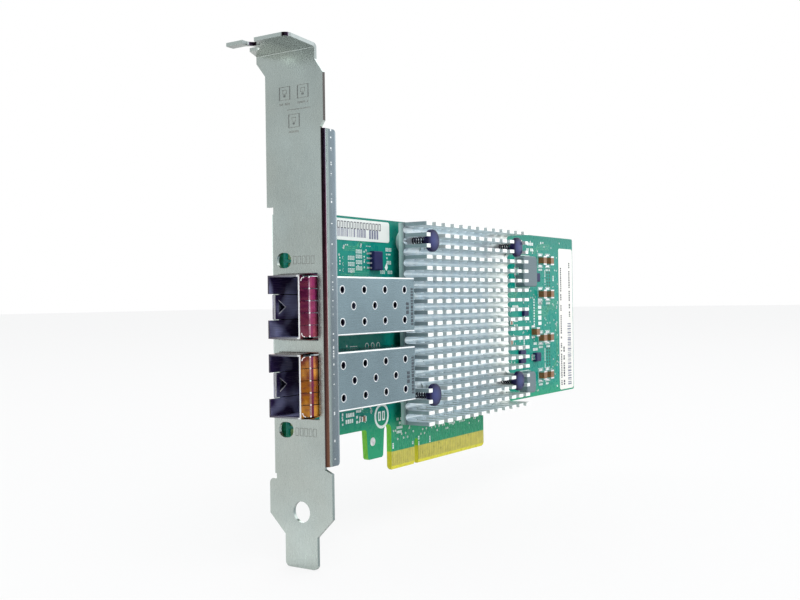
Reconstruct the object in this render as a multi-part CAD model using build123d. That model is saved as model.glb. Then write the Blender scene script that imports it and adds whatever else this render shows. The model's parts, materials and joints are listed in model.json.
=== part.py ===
from build123d import *
from math import cos, pi, sin
import os

# Lengths in millimetres. X runs along the board away from the bracket, Y towards the solder side, Z up.
# The origin is the key notch's centre line, at the connector tongue's lower edge, half way through the board.

# Board
board_thickness = 1.57
board_front_gap = 1.04          # from the bracket sheet's back to the board's near edge
board_length = 167.5
board_top_z = 68.1
board_bottom_z = 12.3
board_corner_cut = 0.5
tongue_near_width = 11.65
key_width = 1.9
tongue_far_width = 38.65
key_depth = 7.2
tongue_bevel_height = 1.0
tongue_bevel_depth = 0.35
hook_gap = 4.1                  # between the tongue and the hook tab's lower end
hook_width = 7.0                # at its lower end
hook_taper = 0.6                # each side widens this much towards the board
hook_slot_rise = 0.4            # the slot's round end, above the board's lower edge
hook_bottom_z = 4.2
hook_hole_radius = 1.15
hook_hole_z = 8.8
hook_hole_inset = 2.25          # from the hook tab's near lower corner
small_hole_sides = 12           # of the small holes and posts that repeat
component_face = -board_thickness / 2
solder_face = board_thickness / 2

# Edge contacts
contact_pitch = 1.0
contact_width = 0.7
contact_thickness = 0.05
contact_top_z = 4.9
first_contact_inset = 1.1
near_contact_count = 11
far_contact_count = 38
key_contact_step = 3.0          # between the contacts on the two sides of the key

# Bracket
sheet = 0.86
bend_radius = 0.2
bracket_face_x = -59.1
foot_tip_z = -15.4
bracket_height = 120.02         # from the foot's tip to the tab's underside
foot_width = 18.42
foot_to_flange = 1.07           # from the foot's solder-side edge to the board flange's outer face
foot_top_height = 20.2
foot_free_top_height = 22.4     # where the foot's component-side edge ends
foot_free_slant = 0.9
foot_shoulder_height = 12.0
foot_tip_shoulder_height = 7.5
foot_tip_width = 9.4
foot_tip_inset = 4.55
foot_tip_radius = 1.2
foot_hole_radius = 2.45
foot_hole_height = 13.0
foot_hole_inset = 9.46
upper_face_inset = 0.2          # the upper face's solder-side edge, from the foot's edge
upper_face_width = 17.08
neck_offset = 2.43              # the neck stands this far out past the foot's solder-side edge
neck_width = 17.42
neck_shoulder_height = 115.0
neck_slant_height = 3.3
neck_shoulder_drop = 1.1        # the component-side shoulder is this much lower
board_flange_low = 21.4         # height above the foot's tip, as all the bracket's heights are
board_flange_top_gap = 1.2      # from the flange's top to the board's
board_flange_depth = 4.4
free_flange_low = 23.9
free_flange_high = 101.2
free_flange_depth = 4.4
free_flange_inset = 1.0         # from the foot's component-side edge to the free flange's outer face
relief_height = 1.7
relief_slant = 1.3
lug_depth = 14.6
lug_height = 8.4
upper_lug_gap = 0.3             # from the lug's top to the flange's
lower_lug_height = 28.1
lower_lug_size = 6.0
screw_depth = 10.4              # from the bracket's face to the screws' axes
lamp_hole_width = 4.4
lamp_hole_tall = 3.6
lamp_hole_offset = 1.7          # from the board's component face
lamp_hole_heights = (31.83, 71.36)

# Mounting tab at the top of the bracket
tab_depth = 11.43
tab_flare = 1.4
tab_corner_radius = 1.5
tab_prong_inset = 1.03          # the prong's end, from the neck's solder-side edge
tab_mouth_inset = 2.2
screw_slot_width = 4.3
screw_slot_near = 4.8           # from the bracket's face to the slot's near wall
screw_slot_length = 6.4
edge_notch_width = 3.5
edge_notch_depth = 3.2
edge_notch_centre = 7.6         # from the neck's solder-side edge

# Port cages
cage_sheet = 0.25
cage_fold = 0.2                 # flat along the roof's folded edges
cage_length = 48.5
cage_width = 14.3
cage_reach = 4.04               # how far the cages stand out of the bracket
cage_floor_gap = 0.25           # under the cage's floor
cage_height = 9.3               # above the board
port_heights = (42.33, 60.5)    # centre lines above the foot's tip
port_names = ("lower", "upper")
vent_radius = 0.85
vent_pitch = 9.1
vent_row_pitch = 3.93
vent_start = 16.5               # from the cage's mouth to the first hole of the outer rows
cage_floor_length = 34.5
latch_width = 5.7
latch_front_setback = 1.45
latch_length = 11.0
latch_slit = 0.2
latch_window_width = 3.0
latch_window_length = 2.3
latch_window_setback = 3.5
cage_pin_radius = 0.35
cage_pin_length = 1.1           # past the solder face
cage_pin_hole_radius = 0.5
cage_foot_length = 2.4
cage_foot_places = (13.0, 41.0)

# Spring collars round the cages' mouths
spring_sheet = 0.15
collar_band_length = 1.0
finger_gap = 0.15
finger_corner_gap = 0.3         # from the cage's corners to the outer fingers
top_finger_count = 5
side_finger_count = 2
finger_ridge = 1.25             # height of the finger's ridge above the cage
finger_crest = 2.05
side_finger_crest = 0.42
finger_length = 9.0
port_side_gap = 0.6             # between the cage and the bracket's cut-out, beside it
port_floor_gap = 0.35
port_crest_gap = 0.06

# Connector inside each cage
socket_width = 11.4
socket_depth = 9.2
socket_height = 5.4
socket_slot_width = 9.2
socket_slot_height = 1.3
socket_slot_depth = 6.5
socket_slot_level = 3.4
socket_back_gap = 1.6           # from the cage's rear wall
socket_contact_count = 10
socket_contact_pitch = 0.8
socket_contact_width = 0.35
socket_contact_thickness = 0.2

# Controller chip under the heat sink
controller_width = 25.0
controller_base_thickness = 1.2
controller_lid_width = 20.6
controller_lid_thickness = 0.9
pad_thickness = 0.2

# Heat sink
sink_near_x = -11.1
fin_columns = 13
fin_column_pitch = 4.865
fin_length = 2.7
fin_rows = 19
fin_row_pitch = 3.005
fin_thickness = 1.0
fin_height = 7.6
sink_base_thickness = 1.5
sink_bottom_z = 12.35
boss_radius = 3.1
boss_sides = 16
boss_gap = 0.1                  # between the sink's bosses and the board

# Push pins and their springs
pin_inset = 5.0                 # from the sink's ends to the pins' axes
pin_lower_row = 2               # each pin stands in the gap above this fin row
pin_upper_row = 16
pin_pocket_radius = 3.35
pin_hole_radius = 0.8
pin_shank_radius = 0.6
pin_head_radius = 3.05
pin_head_thickness = 0.6
pin_head_drop = 0.8             # below the fins' tips
pin_collar_radius = 1.25
pin_collar_length = 2.2
pin_tip_length = 2.6            # past the solder face
pin_tip_radius = 1.1
pin_tip_taper = 16.0            # degrees
pin_tip_gap = 0.05              # between the barb and the solder face
pin_slit_width = 0.4
pin_slit_length = 4.0
spring_wire = 0.4
spring_coil_radius = 1.0
spring_turns = 6
spring_steps = 8                # straight runs in one turn

# Small parts, placed from the board's near edge and from its lower edge
memory_place = (37.6, 44.6)
memory_body = (4.1, 5.1, 1.45)
memory_lead_pitch = 1.27
memory_lead_count = 4
memory_lead_width = 0.42
memory_lead_thickness = 0.2
memory_lead_span = 6.1
memory_lead_foot = 0.7
inductor_places = ((125.7, 43.1), (125.8, 5.6))
inductor_sizes = ((10.1, 10.2, 3.2), (6.6, 7.0, 3.0))
inductor_corner_cut = 0.8
inductor_top_cut = 0.25
inductor_terminal_width = 2.6
inductor_terminal_length = 0.35
inductor_terminal_height = 1.2
large_capacitor = (2.5, 3.1, 2.0)
large_capacitor_end = 0.5
large_capacitor_places = (
    (139.8, 47.2), (145.8, 47.2), (139.6, 35.4), (145.6, 35.4),
    (139.4, 20.1), (145.0, 20.1), (139.0, 7.0), (144.6, 7.0), (133.6, 22.4),
)
diode_body = (3.7, 3.0, 1.45)
diode_lead_length = 0.45
diode_lead_height = 0.9
diode_places = ((134.9, 41.2), (134.9, 13.6))
small_chip_body = (2.0, 1.3, 0.7)
small_chip_end = 0.4
small_chip_places = (
    (116.0, 26.0), (116.0, 19.4), (31.0, 3.1), (13.4, 50.0), (13.4, 2.6),
)
transistor_body = (3.4, 2.0, 1.0)
transistor_place = (126.6, 29.0)
transistor_lead_width = 0.4
transistor_lead_length = 0.45
transistor_lead_thickness = 0.15
regulator_body = (4.0, 4.4, 1.0)
regulator_place = (123.9, 14.3)
regulator_lead_pitch = 0.95
regulator_lead_count = 4
regulator_lead_width = 0.35
regulator_lead_length = 0.5
lamp_body = (0.8, 1.6, 0.7)
lamp_distance = 2.2             # from the board's near edge
lamp_spacing = 2.4
rear_chip_body = (1.0, 0.55, 0.5)
rear_chip_end = 0.22
rear_chip_columns = 4
rear_chip_rows = 3
rear_chip_pitch = 3.9
label_thickness = 0.1
near_label = (19.6, 49.65, 25.2, 6.1)
far_label = (155.0, 0.55, 12.0, 51.4)
label_corner_cut = 0.6

# Bracket screws
screw_radius = 1.45
screw_hole_radius = 1.6
screw_head_radius = 2.5
screw_head_height = 1.6
screw_head_bevel = 0.6
screw_tail = 1.0
screw_recess = 0.8
screw_recess_width = 0.7
screw_recess_length = 2.6

# Places that follow from the sizes above
board_near_x = bracket_face_x + sheet + board_front_gap
board_far_x = board_near_x + board_length
foot_edge_y = solder_face + sheet + foot_to_flange
free_bend_y = foot_edge_y - foot_width + free_flange_inset + sheet + bend_radius
cage_top_y = component_face - cage_height
cage_floor_y = component_face - cage_floor_gap
cage_mouth_x = bracket_face_x - cage_reach
cage_back_x = cage_mouth_x + cage_length
board_flange_high = board_top_z - board_flange_top_gap - foot_tip_z
upper_lug_height = board_flange_high - upper_lug_gap - lug_height
controller_top_y = component_face - controller_base_thickness - controller_lid_thickness
sink_floor_y = controller_top_y - pad_thickness
sink_deck_y = sink_floor_y - sink_base_thickness
fin_tip_y = sink_deck_y - fin_height
sink_length = (fin_columns - 1) * fin_column_pitch + fin_length
sink_height = (fin_rows - 1) * fin_row_pitch + fin_thickness
sink_middle_x = sink_near_x + sink_length / 2
sink_middle_z = sink_bottom_z + sink_height / 2
pin_head_y = fin_tip_y + pin_head_drop
pin_collar_y = pin_head_y + pin_head_thickness + pin_collar_length
pin_axes_x = (sink_near_x + pin_inset, sink_near_x + sink_length - pin_inset)


def height(above_tip):
    """Z of a height that is measured from the bracket's lower tip."""
    return foot_tip_z + above_tip


def block(x, y, z):
    """A box between two values on each axis."""
    spans = [sorted(pair) for pair in (x, y, z)]
    sizes = [high - low for low, high in spans]
    middles = [(high + low) / 2 for low, high in spans]
    return Pos(*middles) * Box(*sizes)


def on_board(place, size, lift=0.0):
    """A box on the component face; place is its centre from the board's near and lower edges."""
    x = board_near_x + place[0]
    z = board_bottom_z + place[1]
    base = component_face - lift
    return block(
        (x - size[0] / 2, x + size[0] / 2),
        (base, base - size[2]),
        (z - size[1] / 2, z + size[1] / 2),
    )


def rod(radius, start_y, end_y, x, z):
    """A cylinder along Y."""
    plane = Plane((x, start_y, z), x_dir=(1, 0, 0), z_dir=(0, 1 if end_y > start_y else -1, 0))
    return extrude(plane * Circle(radius), amount=abs(end_y - start_y))


def post(radius, sides, start_y, end_y, x, z):
    """A many-sided post along Y, for pins and small holes that repeat."""
    plane = Plane((x, start_y, z), x_dir=(1, 0, 0), z_dir=(0, 1 if end_y > start_y else -1, 0))
    return extrude(plane * RegularPolygon(radius, sides), amount=abs(end_y - start_y))


def outline(points):
    """A face inside a closed run of straight lines."""
    return make_face(Polyline(*points, close=True))


def plate(face, start_y, thickness):
    """A face drawn in X and Z, thickened from start_y towards -Y."""
    return extrude(Plane((0, start_y, 0), x_dir=(1, 0, 0), z_dir=(0, -1, 0)) * face, amount=thickness)


def pin_axes():
    """Axes of the four push pins, as X and Z."""
    first_row = sink_bottom_z + fin_thickness / 2
    rows = [first_row + (row + 0.5) * fin_row_pitch for row in (pin_lower_row, pin_upper_row)]
    return [(x, z) for x in pin_axes_x for z in rows]


def screw_axes():
    """Axes of the two screws that hold the board to the bracket, as X and Z."""
    x = bracket_face_x + screw_depth
    return [
        (x, height(upper_lug_height + lug_height / 2)),
        (x, height(lower_lug_height + lower_lug_size / 2)),
    ]


def cage_pin_places(port_height):
    """Centres of a cage's board pins, as X and Z."""
    across = cage_width / 2 - cage_sheet / 2
    xs = [cage_mouth_x + place for place in cage_foot_places]
    return [(x, height(port_height) + side * across) for x in xs for side in (-1, 1)]


def board_outline():
    """The board with its connector tongue, key notch and hook tab."""
    tongue_near = -key_width / 2 - tongue_near_width
    tongue_far = key_width / 2 + tongue_far_width
    hook_far = tongue_near - hook_gap
    hook_near = hook_far - hook_width
    slot_radius = (hook_gap - hook_taper) / 2
    slot_end_z = board_bottom_z + hook_slot_rise - slot_radius
    shape = outline([
        (board_near_x, board_top_z),
        (board_far_x, board_top_z),
        (board_far_x, board_bottom_z),
        (tongue_far, board_bottom_z),
        (tongue_far, 0),
        (tongue_near, 0),
        (tongue_near, slot_end_z),
        (hook_far + hook_taper, slot_end_z),
        (hook_far, hook_bottom_z),
        (hook_near, hook_bottom_z),
        (hook_near - hook_taper, board_bottom_z),
        (board_near_x, board_bottom_z),
    ])
    corners = shape.vertices().filter_by(lambda corner: abs(corner.Y - slot_end_z) > board_corner_cut)
    shape = chamfer(corners, board_corner_cut)
    slot_end = Pos(tongue_near - slot_radius, slot_end_z) * Circle(slot_radius)
    key_end_z = key_depth - key_width / 2
    key = Pos(0, key_end_z / 2) * Rectangle(key_width, key_end_z) + Pos(0, key_end_z) * Circle(key_width / 2)
    hook_hole = Pos(hook_near + hook_hole_inset, hook_hole_z) * Circle(hook_hole_radius)
    return shape - slot_end - key - hook_hole


def circuit_board():
    board = plate(board_outline(), solder_face, board_thickness)
    bevel = Plane.YZ * outline([
        (solder_face, 0),
        (solder_face, tongue_bevel_height),
        (solder_face - tongue_bevel_depth, 0),
    ])
    bevel = extrude(bevel, amount=board_length, both=True)
    board -= bevel
    board -= mirror(bevel, Plane.XZ)
    for x, z in pin_axes():
        board -= post(pin_hole_radius, small_hole_sides, component_face, solder_face, x, z)
    for x, z in screw_axes():
        board -= post(screw_hole_radius, small_hole_sides, component_face, solder_face, x, z)
    for port_height in port_heights:
        for x, z in cage_pin_places(port_height):
            board -= post(cage_pin_hole_radius, small_hole_sides, component_face, solder_face, x, z)
    return board


def edge_contacts(face_y, outward):
    """One row of gold contacts; outward is the sign of Y that points away from the board."""
    near_first = -key_width / 2 - tongue_near_width + first_contact_inset
    near = [near_first + index * contact_pitch for index in range(near_contact_count)]
    far_first = near[-1] + key_contact_step
    far = [far_first + index * contact_pitch for index in range(far_contact_count)]
    half = contact_width / 2
    ys = (face_y, face_y + outward * contact_thickness)
    zs = (tongue_bevel_height, contact_top_z)
    return Compound([block((x - half, x + half), ys, zs) for x in near + far])


def sheet_corner(inner_radius, first_leg, second_leg):
    """Section of a bent sheet: one leg along +X, one along +Y, outer faces on the axes."""
    section = outline([
        (0, 0), (first_leg, 0), (first_leg, sheet), (sheet, sheet), (sheet, second_leg), (0, second_leg),
    ])
    corners = section.vertices()
    outer = corners.sort_by_distance((0, 0, 0))[0]
    section = fillet(outer, inner_radius + sheet)
    inner = section.vertices().sort_by_distance((sheet, sheet, 0))[0]
    return fillet(inner, inner_radius)


def foot_outline():
    """The lower end of the bracket's face, drawn in Y and Z."""
    left = foot_edge_y
    right = foot_edge_y - foot_width
    tip_left = foot_edge_y - foot_tip_inset
    tip_right = tip_left - foot_tip_width
    foot = outline([
        (left, height(foot_top_height)),
        (left, height(foot_shoulder_height)),
        (tip_left, height(foot_tip_shoulder_height)),
        (tip_left, height(0)),
        (tip_right, height(0)),
        (tip_right, height(foot_tip_shoulder_height)),
        (right, height(foot_shoulder_height)),
        (right, height(foot_free_top_height)),
        (free_bend_y, height(foot_free_top_height + foot_free_slant)),
        (free_bend_y, height(foot_top_height)),
    ])
    tips = foot.vertices().group_by(Axis.Y)[0]
    foot = fillet(tips, foot_tip_radius)
    shoulder = foot.vertices().sort_by_distance((left, height(foot_top_height), 0))[0]
    foot = fillet(shoulder, foot_tip_radius)
    hole = Pos(foot_edge_y - foot_hole_inset, height(foot_hole_height)) * Circle(foot_hole_radius)
    return foot - hole


def face_outline():
    """The bracket's flat face above the foot, drawn in Y and Z."""
    board_side = solder_face - bend_radius
    upper_left = foot_edge_y - upper_face_inset
    upper_right = upper_left - upper_face_width
    neck_left = foot_edge_y + neck_offset
    neck_right = neck_left - neck_width
    top = height(bracket_height) - bend_radius
    return outline([
        (board_side, height(foot_top_height - foot_tip_radius)),
        (board_side, height(board_flange_high + relief_height)),
        (upper_left, height(board_flange_high + relief_height)),
        (upper_left, height(neck_shoulder_height)),
        (neck_left, height(neck_shoulder_height + neck_slant_height)),
        (neck_left, top),
        (neck_right, top),
        (neck_right, height(neck_shoulder_height - neck_shoulder_drop + neck_slant_height)),
        (upper_right, height(neck_shoulder_height - neck_shoulder_drop)),
        (upper_right, height(free_flange_high + relief_height)),
        (free_bend_y, height(free_flange_high + relief_height - relief_slant)),
        (free_bend_y, height(foot_top_height - foot_tip_radius)),
    ])


def port_cutout(port_height):
    """The opening in the bracket round one cage and its springs, drawn in Y and Z."""
    low_y = cage_top_y - finger_crest - spring_sheet - port_crest_gap
    high_y = cage_floor_y + port_floor_gap
    wide = cage_width + 2 * port_side_gap
    return Pos((low_y + high_y) / 2, height(port_height)) * Rectangle(high_y - low_y, wide)


def bracket_face():
    face = face_outline() + foot_outline()
    for port_height in port_heights:
        face -= port_cutout(port_height)
    for lamp_height in lamp_hole_heights:
        y = component_face - lamp_hole_offset
        face -= Pos(y, height(lamp_height)) * SlotOverall(lamp_hole_width, lamp_hole_tall)
    return extrude(Plane((bracket_face_x, 0, 0), x_dir=(0, 1, 0), z_dir=(1, 0, 0)) * face, amount=sheet)


def tab_outline():
    """The mounting tab in plan, drawn in X and Y, with its screw slot and edge notch."""
    left = foot_edge_y + neck_offset
    right = left - neck_width
    back = bracket_face_x + sheet
    front = bracket_face_x - tab_depth
    mouth = bracket_face_x - screw_slot_near
    prong = left - tab_prong_inset
    shape = outline([
        (back, left), (bracket_face_x, left), (mouth, left - tab_mouth_inset), (mouth, prong), (front, prong),
        (front, right - tab_flare), (bracket_face_x, right), (back, right),
    ])
    outer_corner = shape.vertices().sort_by_distance((front, right - tab_flare, 0))[0]
    shape = fillet(outer_corner, tab_corner_radius)
    slot_radius = screw_slot_width / 2
    slot_x = mouth - slot_radius
    slot_end_y = left - screw_slot_length + slot_radius
    slot = Pos(slot_x, (slot_end_y + left + sheet) / 2) * Rectangle(screw_slot_width, left + sheet - slot_end_y)
    slot += Pos(slot_x, slot_end_y) * Circle(slot_radius)
    notch_radius = edge_notch_width / 2
    notch_x = front + edge_notch_depth - notch_radius
    notch_y = left - edge_notch_centre
    notch = Pos((front + notch_x) / 2, notch_y) * Rectangle(notch_x - front, edge_notch_width)
    notch += Pos(notch_x, notch_y) * Circle(notch_radius)
    return shape - slot - notch


def bracket_tab():
    """The tab and the bend that joins it to the neck."""
    leg = sheet + 2 * bend_radius
    section = sheet_corner(bend_radius, tab_depth + sheet, leg)
    corner = (bracket_face_x + sheet, 0, height(bracket_height) + sheet)
    plane = Plane(corner, x_dir=(-1, 0, 0), z_dir=(0, -1, 0))
    bent = extrude(plane * section, amount=2 * foot_width, both=True)
    plan = Plane((0, 0, height(bracket_height) - 2 * leg))
    return bent & extrude(plan * tab_outline(), amount=4 * leg)


def free_flange():
    """The stiffening flange on the component side."""
    outer_y = foot_edge_y - foot_width + free_flange_inset
    section = sheet_corner(bend_radius, free_flange_depth, sheet + 2 * bend_radius)
    low = height(free_flange_low)
    plane = Plane((bracket_face_x, outer_y, low))
    flange = extrude(plane * section, amount=free_flange_high - free_flange_low)
    ends = flange.edges().filter_by(Axis.Y).group_by(Axis.X)[-1]
    return fillet(ends, sheet)


def board_flange():
    """The flange that lies on the solder face, with the two screw lugs."""
    outer_y = solder_face + sheet
    section = mirror(sheet_corner(bend_radius, lug_depth, sheet + 2 * bend_radius), Plane.XZ)
    low = height(board_flange_low)
    plane = Plane((bracket_face_x, outer_y, low))
    flange = extrude(plane * section, amount=board_flange_high - board_flange_low)
    cut_x = (bracket_face_x + board_flange_depth, bracket_face_x + lug_depth + 1)
    cut_y = (outer_y - 2 * sheet - bend_radius - 1, outer_y + 1)
    gaps = (
        (board_flange_low - 1, lower_lug_height),
        (lower_lug_height + lower_lug_size, upper_lug_height),
        (upper_lug_height + lug_height, board_flange_high + 1),
    )
    for low_gap, high_gap in gaps:
        flange -= block(cut_x, cut_y, (height(low_gap), height(high_gap)))
    corners = flange.edges().filter_by(Axis.Y).group_by(Axis.X)[-1]
    flange = fillet(corners, 2 * sheet)
    for x, z in screw_axes():
        flange -= post(screw_radius, small_hole_sides, solder_face, outer_y, x, z)
    return flange


def bracket():
    return bracket_face() + bracket_tab() + free_flange() + board_flange()


def bracket_screws():
    """Two pan-head screws through the board into the bracket's lugs."""
    screws = []
    for x, z in screw_axes():
        head_y = component_face - screw_head_height
        head = rod(screw_head_radius, component_face, head_y, x, z)
        head = chamfer(head.edges().group_by(Axis.Y)[0], screw_head_bevel)
        for long_x, long_z in ((screw_recess_length, screw_recess_width), (screw_recess_width, screw_recess_length)):
            half_x = long_x / 2
            half_z = long_z / 2
            recess_y = (head_y, head_y + screw_recess)
            head -= block((x - half_x, x + half_x), recess_y, (z - half_z, z + half_z))
        tail_y = solder_face + sheet + screw_tail
        screws.append(head + post(screw_radius, small_hole_sides, component_face, tail_y, x, z))
    return Compound(screws)


def vent_holes(port_height):
    """Rods that cut the cage's three staggered rows of vents."""
    first = cage_mouth_x + vent_start
    rows = (
        (vent_row_pitch, first, 4),
        (0, first + vent_pitch / 2, 3),
        (-vent_row_pitch, first, 4),
    )
    middle = height(port_height)
    places = [(x + index * vent_pitch, middle + z) for z, x, count in rows for index in range(count)]
    outside = cage_top_y - cage_sheet
    inside = cage_top_y + 2 * cage_sheet
    return [post(vent_radius, small_hole_sides, outside, inside, x, z) for x, z in places]


def latch_cut(port_height):
    """Slits round the latch tongue in the cage's floor, its set-back end and its pointed window."""
    middle = height(port_height)
    half = latch_width / 2
    front = cage_mouth_x + latch_front_setback
    end = cage_mouth_x + latch_length
    window_x = cage_mouth_x + latch_window_setback
    cut = outline([
        (cage_mouth_x - 1, middle - half), (front, middle - half), (front, middle + half),
        (cage_mouth_x - 1, middle + half),
    ])
    for side in (-1, 1):
        slit_z = middle + side * (half + latch_slit / 2)
        cut += Pos((cage_mouth_x - 1 + end) / 2, slit_z) * Rectangle(end - cage_mouth_x + 1, latch_slit)
    cut += outline([
        (window_x, middle - latch_window_width / 2), (window_x, middle + latch_window_width / 2),
        (window_x + latch_window_length, middle),
    ])
    return plate(cut, cage_floor_y + 1, cage_sheet + 2)


def port_cage(port_height):
    """A folded sheet cage: open mouth, vented roof, latch in the floor, feet and board pins."""
    middle = height(port_height)
    low_z = middle - cage_width / 2
    high_z = middle + cage_width / 2
    cage = block((cage_mouth_x, cage_back_x), (cage_floor_y, cage_top_y), (low_z, high_z))
    cage = chamfer(cage.edges().filter_by(Axis.X).group_by(Axis.Y)[0], cage_fold)
    cage -= block(
        (cage_mouth_x - 1, cage_back_x - cage_sheet),
        (cage_floor_y - cage_sheet, cage_top_y + cage_sheet),
        (low_z + cage_sheet, high_z - cage_sheet),
    )
    floor_end = cage_mouth_x + cage_floor_length
    cage -= block(
        (floor_end, cage_back_x - cage_sheet),
        (cage_floor_y + 1, cage_floor_y - 2 * cage_sheet),
        (low_z + cage_sheet, high_z - cage_sheet),
    )
    for vent in vent_holes(port_height):
        cage -= vent
    cage -= latch_cut(port_height)
    for x, z in cage_pin_places(port_height):
        half = cage_foot_length / 2
        wall = (z - cage_sheet / 2, z + cage_sheet / 2)
        cage += block((x - half, x + half), (component_face, cage_floor_y - cage_sheet), wall)
        pin_end = solder_face + cage_pin_length
        cage += block((x - cage_pin_radius, x + cage_pin_radius), (component_face, pin_end), wall)
    return cage


def finger_section(crest, ridge):
    """Section of one spring finger: X from the cage's mouth, Y its height above the cage wall."""
    ridge_x = 0.21 * finger_length
    crest_x = 0.5 * finger_length
    foot_x = 0.92 * finger_length
    path = [(0, 0), (ridge_x, ridge), (crest_x, crest), (foot_x, 0), (finger_length, 0)]
    back = [(x, y + spring_sheet) for x, y in reversed(path)]
    return outline(path + back)


def finger_spans(wall, count):
    """Start and end of each finger along one wall of the cage."""
    step = (wall - 2 * finger_corner_gap + finger_gap) / count
    starts = [finger_corner_gap + index * step for index in range(count)]
    return [(start, start + step - finger_gap) for start in starts]


def collar_ring(port_height):
    """The band round the cage's mouth, open at the latch."""
    middle = height(port_height)
    low_z = middle - cage_width / 2
    high_z = middle + cage_width / 2
    span = (cage_mouth_x, cage_mouth_x + collar_band_length)
    ring = block(
        span,
        (cage_floor_y + spring_sheet, cage_top_y - spring_sheet),
        (low_z - spring_sheet, high_z + spring_sheet),
    )
    ring -= block(span, (cage_floor_y, cage_top_y), (low_z, high_z))
    half = latch_width / 2 + latch_slit
    below = (cage_floor_y + 2 * spring_sheet, cage_floor_y - spring_sheet)
    return ring - block(span, below, (middle - half, middle + half))


def cage_springs(port_height):
    """The spring collar: its band, five bulging fingers over the roof and two on each side."""
    middle = height(port_height)
    collar = collar_ring(port_height)
    section = mirror(finger_section(finger_crest, finger_ridge), Plane.XZ)
    low_z = middle - cage_width / 2
    for low, high in finger_spans(cage_width, top_finger_count):
        plane = Plane((cage_mouth_x, cage_top_y, low_z + low), x_dir=(1, 0, 0), z_dir=(0, 0, 1))
        collar += extrude(plane * section, amount=high - low)
    side_section = finger_section(side_finger_crest, side_finger_crest / 2)
    for side in (-1, 1):
        wall_z = middle + side * cage_width / 2
        for low, high in finger_spans(cage_height - cage_floor_gap, side_finger_count):
            plane = Plane((cage_mouth_x, cage_top_y + low, wall_z), x_dir=(1, 0, 0), z_dir=(0, -side, 0))
            collar += extrude(plane * side_section, amount=side * (low - high))
    return collar


def socket(port_height):
    """The connector housing at the back of a cage, with its card slot."""
    middle = height(port_height)
    back = cage_back_x - cage_sheet - socket_back_gap
    front = back - socket_depth
    body = block(
        (front, back), (component_face, component_face - socket_height),
        (middle - socket_width / 2, middle + socket_width / 2),
    )
    body = chamfer(body.edges().filter_by(Axis.Z).group_by(Axis.Y)[0], 0.6)
    level = component_face - socket_slot_level
    slot = block(
        (front - 1, front + socket_slot_depth),
        (level - socket_slot_height / 2, level + socket_slot_height / 2),
        (middle - socket_slot_width / 2, middle + socket_slot_width / 2),
    )
    return body - slot


def socket_contacts(port_height):
    """Two rows of contacts inside the card slot."""
    middle = height(port_height)
    front = cage_back_x - cage_sheet - socket_back_gap - socket_depth
    xs = (front + 0.8, front + socket_slot_depth)
    level = component_face - socket_slot_level
    half = socket_contact_width / 2
    pieces = []
    for side in (-1, 1):
        wall = level + side * socket_slot_height / 2
        ys = (wall, wall - side * socket_contact_thickness)
        for index in range(socket_contact_count):
            z = middle + (index - (socket_contact_count - 1) / 2) * socket_contact_pitch
            pieces.append(block(xs, ys, (z - half, z + half)))
    return Compound(pieces)


def centred_block(width, near_y, far_y):
    """A square block on the controller's centre line."""
    half = width / 2
    return block(
        (sink_middle_x - half, sink_middle_x + half), (near_y, far_y),
        (sink_middle_z - half, sink_middle_z + half),
    )


def controller_base():
    return centred_block(controller_width, component_face, component_face - controller_base_thickness)


def controller_lid():
    lid = centred_block(controller_lid_width, component_face - controller_base_thickness, controller_top_y)
    return chamfer(lid.edges().group_by(Axis.Y)[0], 0.3)


def thermal_pad():
    return centred_block(controller_lid_width - 0.6, controller_top_y, sink_floor_y)


def fins():
    """Every fin pin, trimmed round the push pins."""
    first_x = sink_near_x + fin_length / 2
    first_z = sink_bottom_z + fin_thickness / 2
    grid = Sketch()
    for column in range(fin_columns):
        for row in range(fin_rows):
            x = first_x + column * fin_column_pitch
            z = first_z + row * fin_row_pitch
            grid += Pos(x, z) * Rectangle(fin_length, fin_thickness)
    for x, z in pin_axes():
        grid -= Pos(x, z) * RegularPolygon(pin_pocket_radius, boss_sides)
    return plate(grid, sink_deck_y + sink_base_thickness / 2, fin_height + sink_base_thickness / 2)


def heat_sink():
    """The machined sink: base, fin pins, and a boss round each push pin."""
    sink = block(
        (sink_near_x, sink_near_x + sink_length), (sink_floor_y, sink_deck_y),
        (sink_bottom_z, sink_bottom_z + sink_height),
    )
    sink += fins()
    for x, z in pin_axes():
        sink += post(boss_radius, boss_sides, component_face - boss_gap, sink_floor_y - sink_base_thickness / 2, x, z)
    for x, z in pin_axes():
        sink -= post(pin_hole_radius, small_hole_sides, component_face, sink_deck_y - sink_base_thickness, x, z)
    return sink


def push_pin(x, z):
    """One push pin: round head, collar, shank and a split barb behind the board."""
    shank_top = pin_head_y + pin_head_thickness
    barb_y = solder_face + pin_tip_gap
    barb = Plane((x, barb_y, z), x_dir=(1, 0, 0), z_dir=(0, 1, 0)) * RegularPolygon(pin_tip_radius, small_hole_sides)
    pin = post(pin_head_radius, boss_sides, shank_top, pin_head_y, x, z)
    pin = chamfer(pin.edges().group_by(Axis.Y)[0], pin_head_thickness / 2)
    pin += post(pin_collar_radius, small_hole_sides, shank_top, pin_collar_y, x, z)
    pin += post(pin_shank_radius, small_hole_sides, pin_collar_y, barb_y, x, z)
    pin += extrude(barb, amount=pin_tip_length - pin_tip_gap, taper=pin_tip_taper)
    half = pin_slit_width / 2
    tip = solder_face + pin_tip_length
    slit = (tip, tip - pin_slit_length)
    return pin - block((x - half, x + half), slit, (z - pin_tip_radius, z + pin_tip_radius))


def push_pins():
    return Compound([push_pin(x, z) for x, z in pin_axes()])


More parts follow.
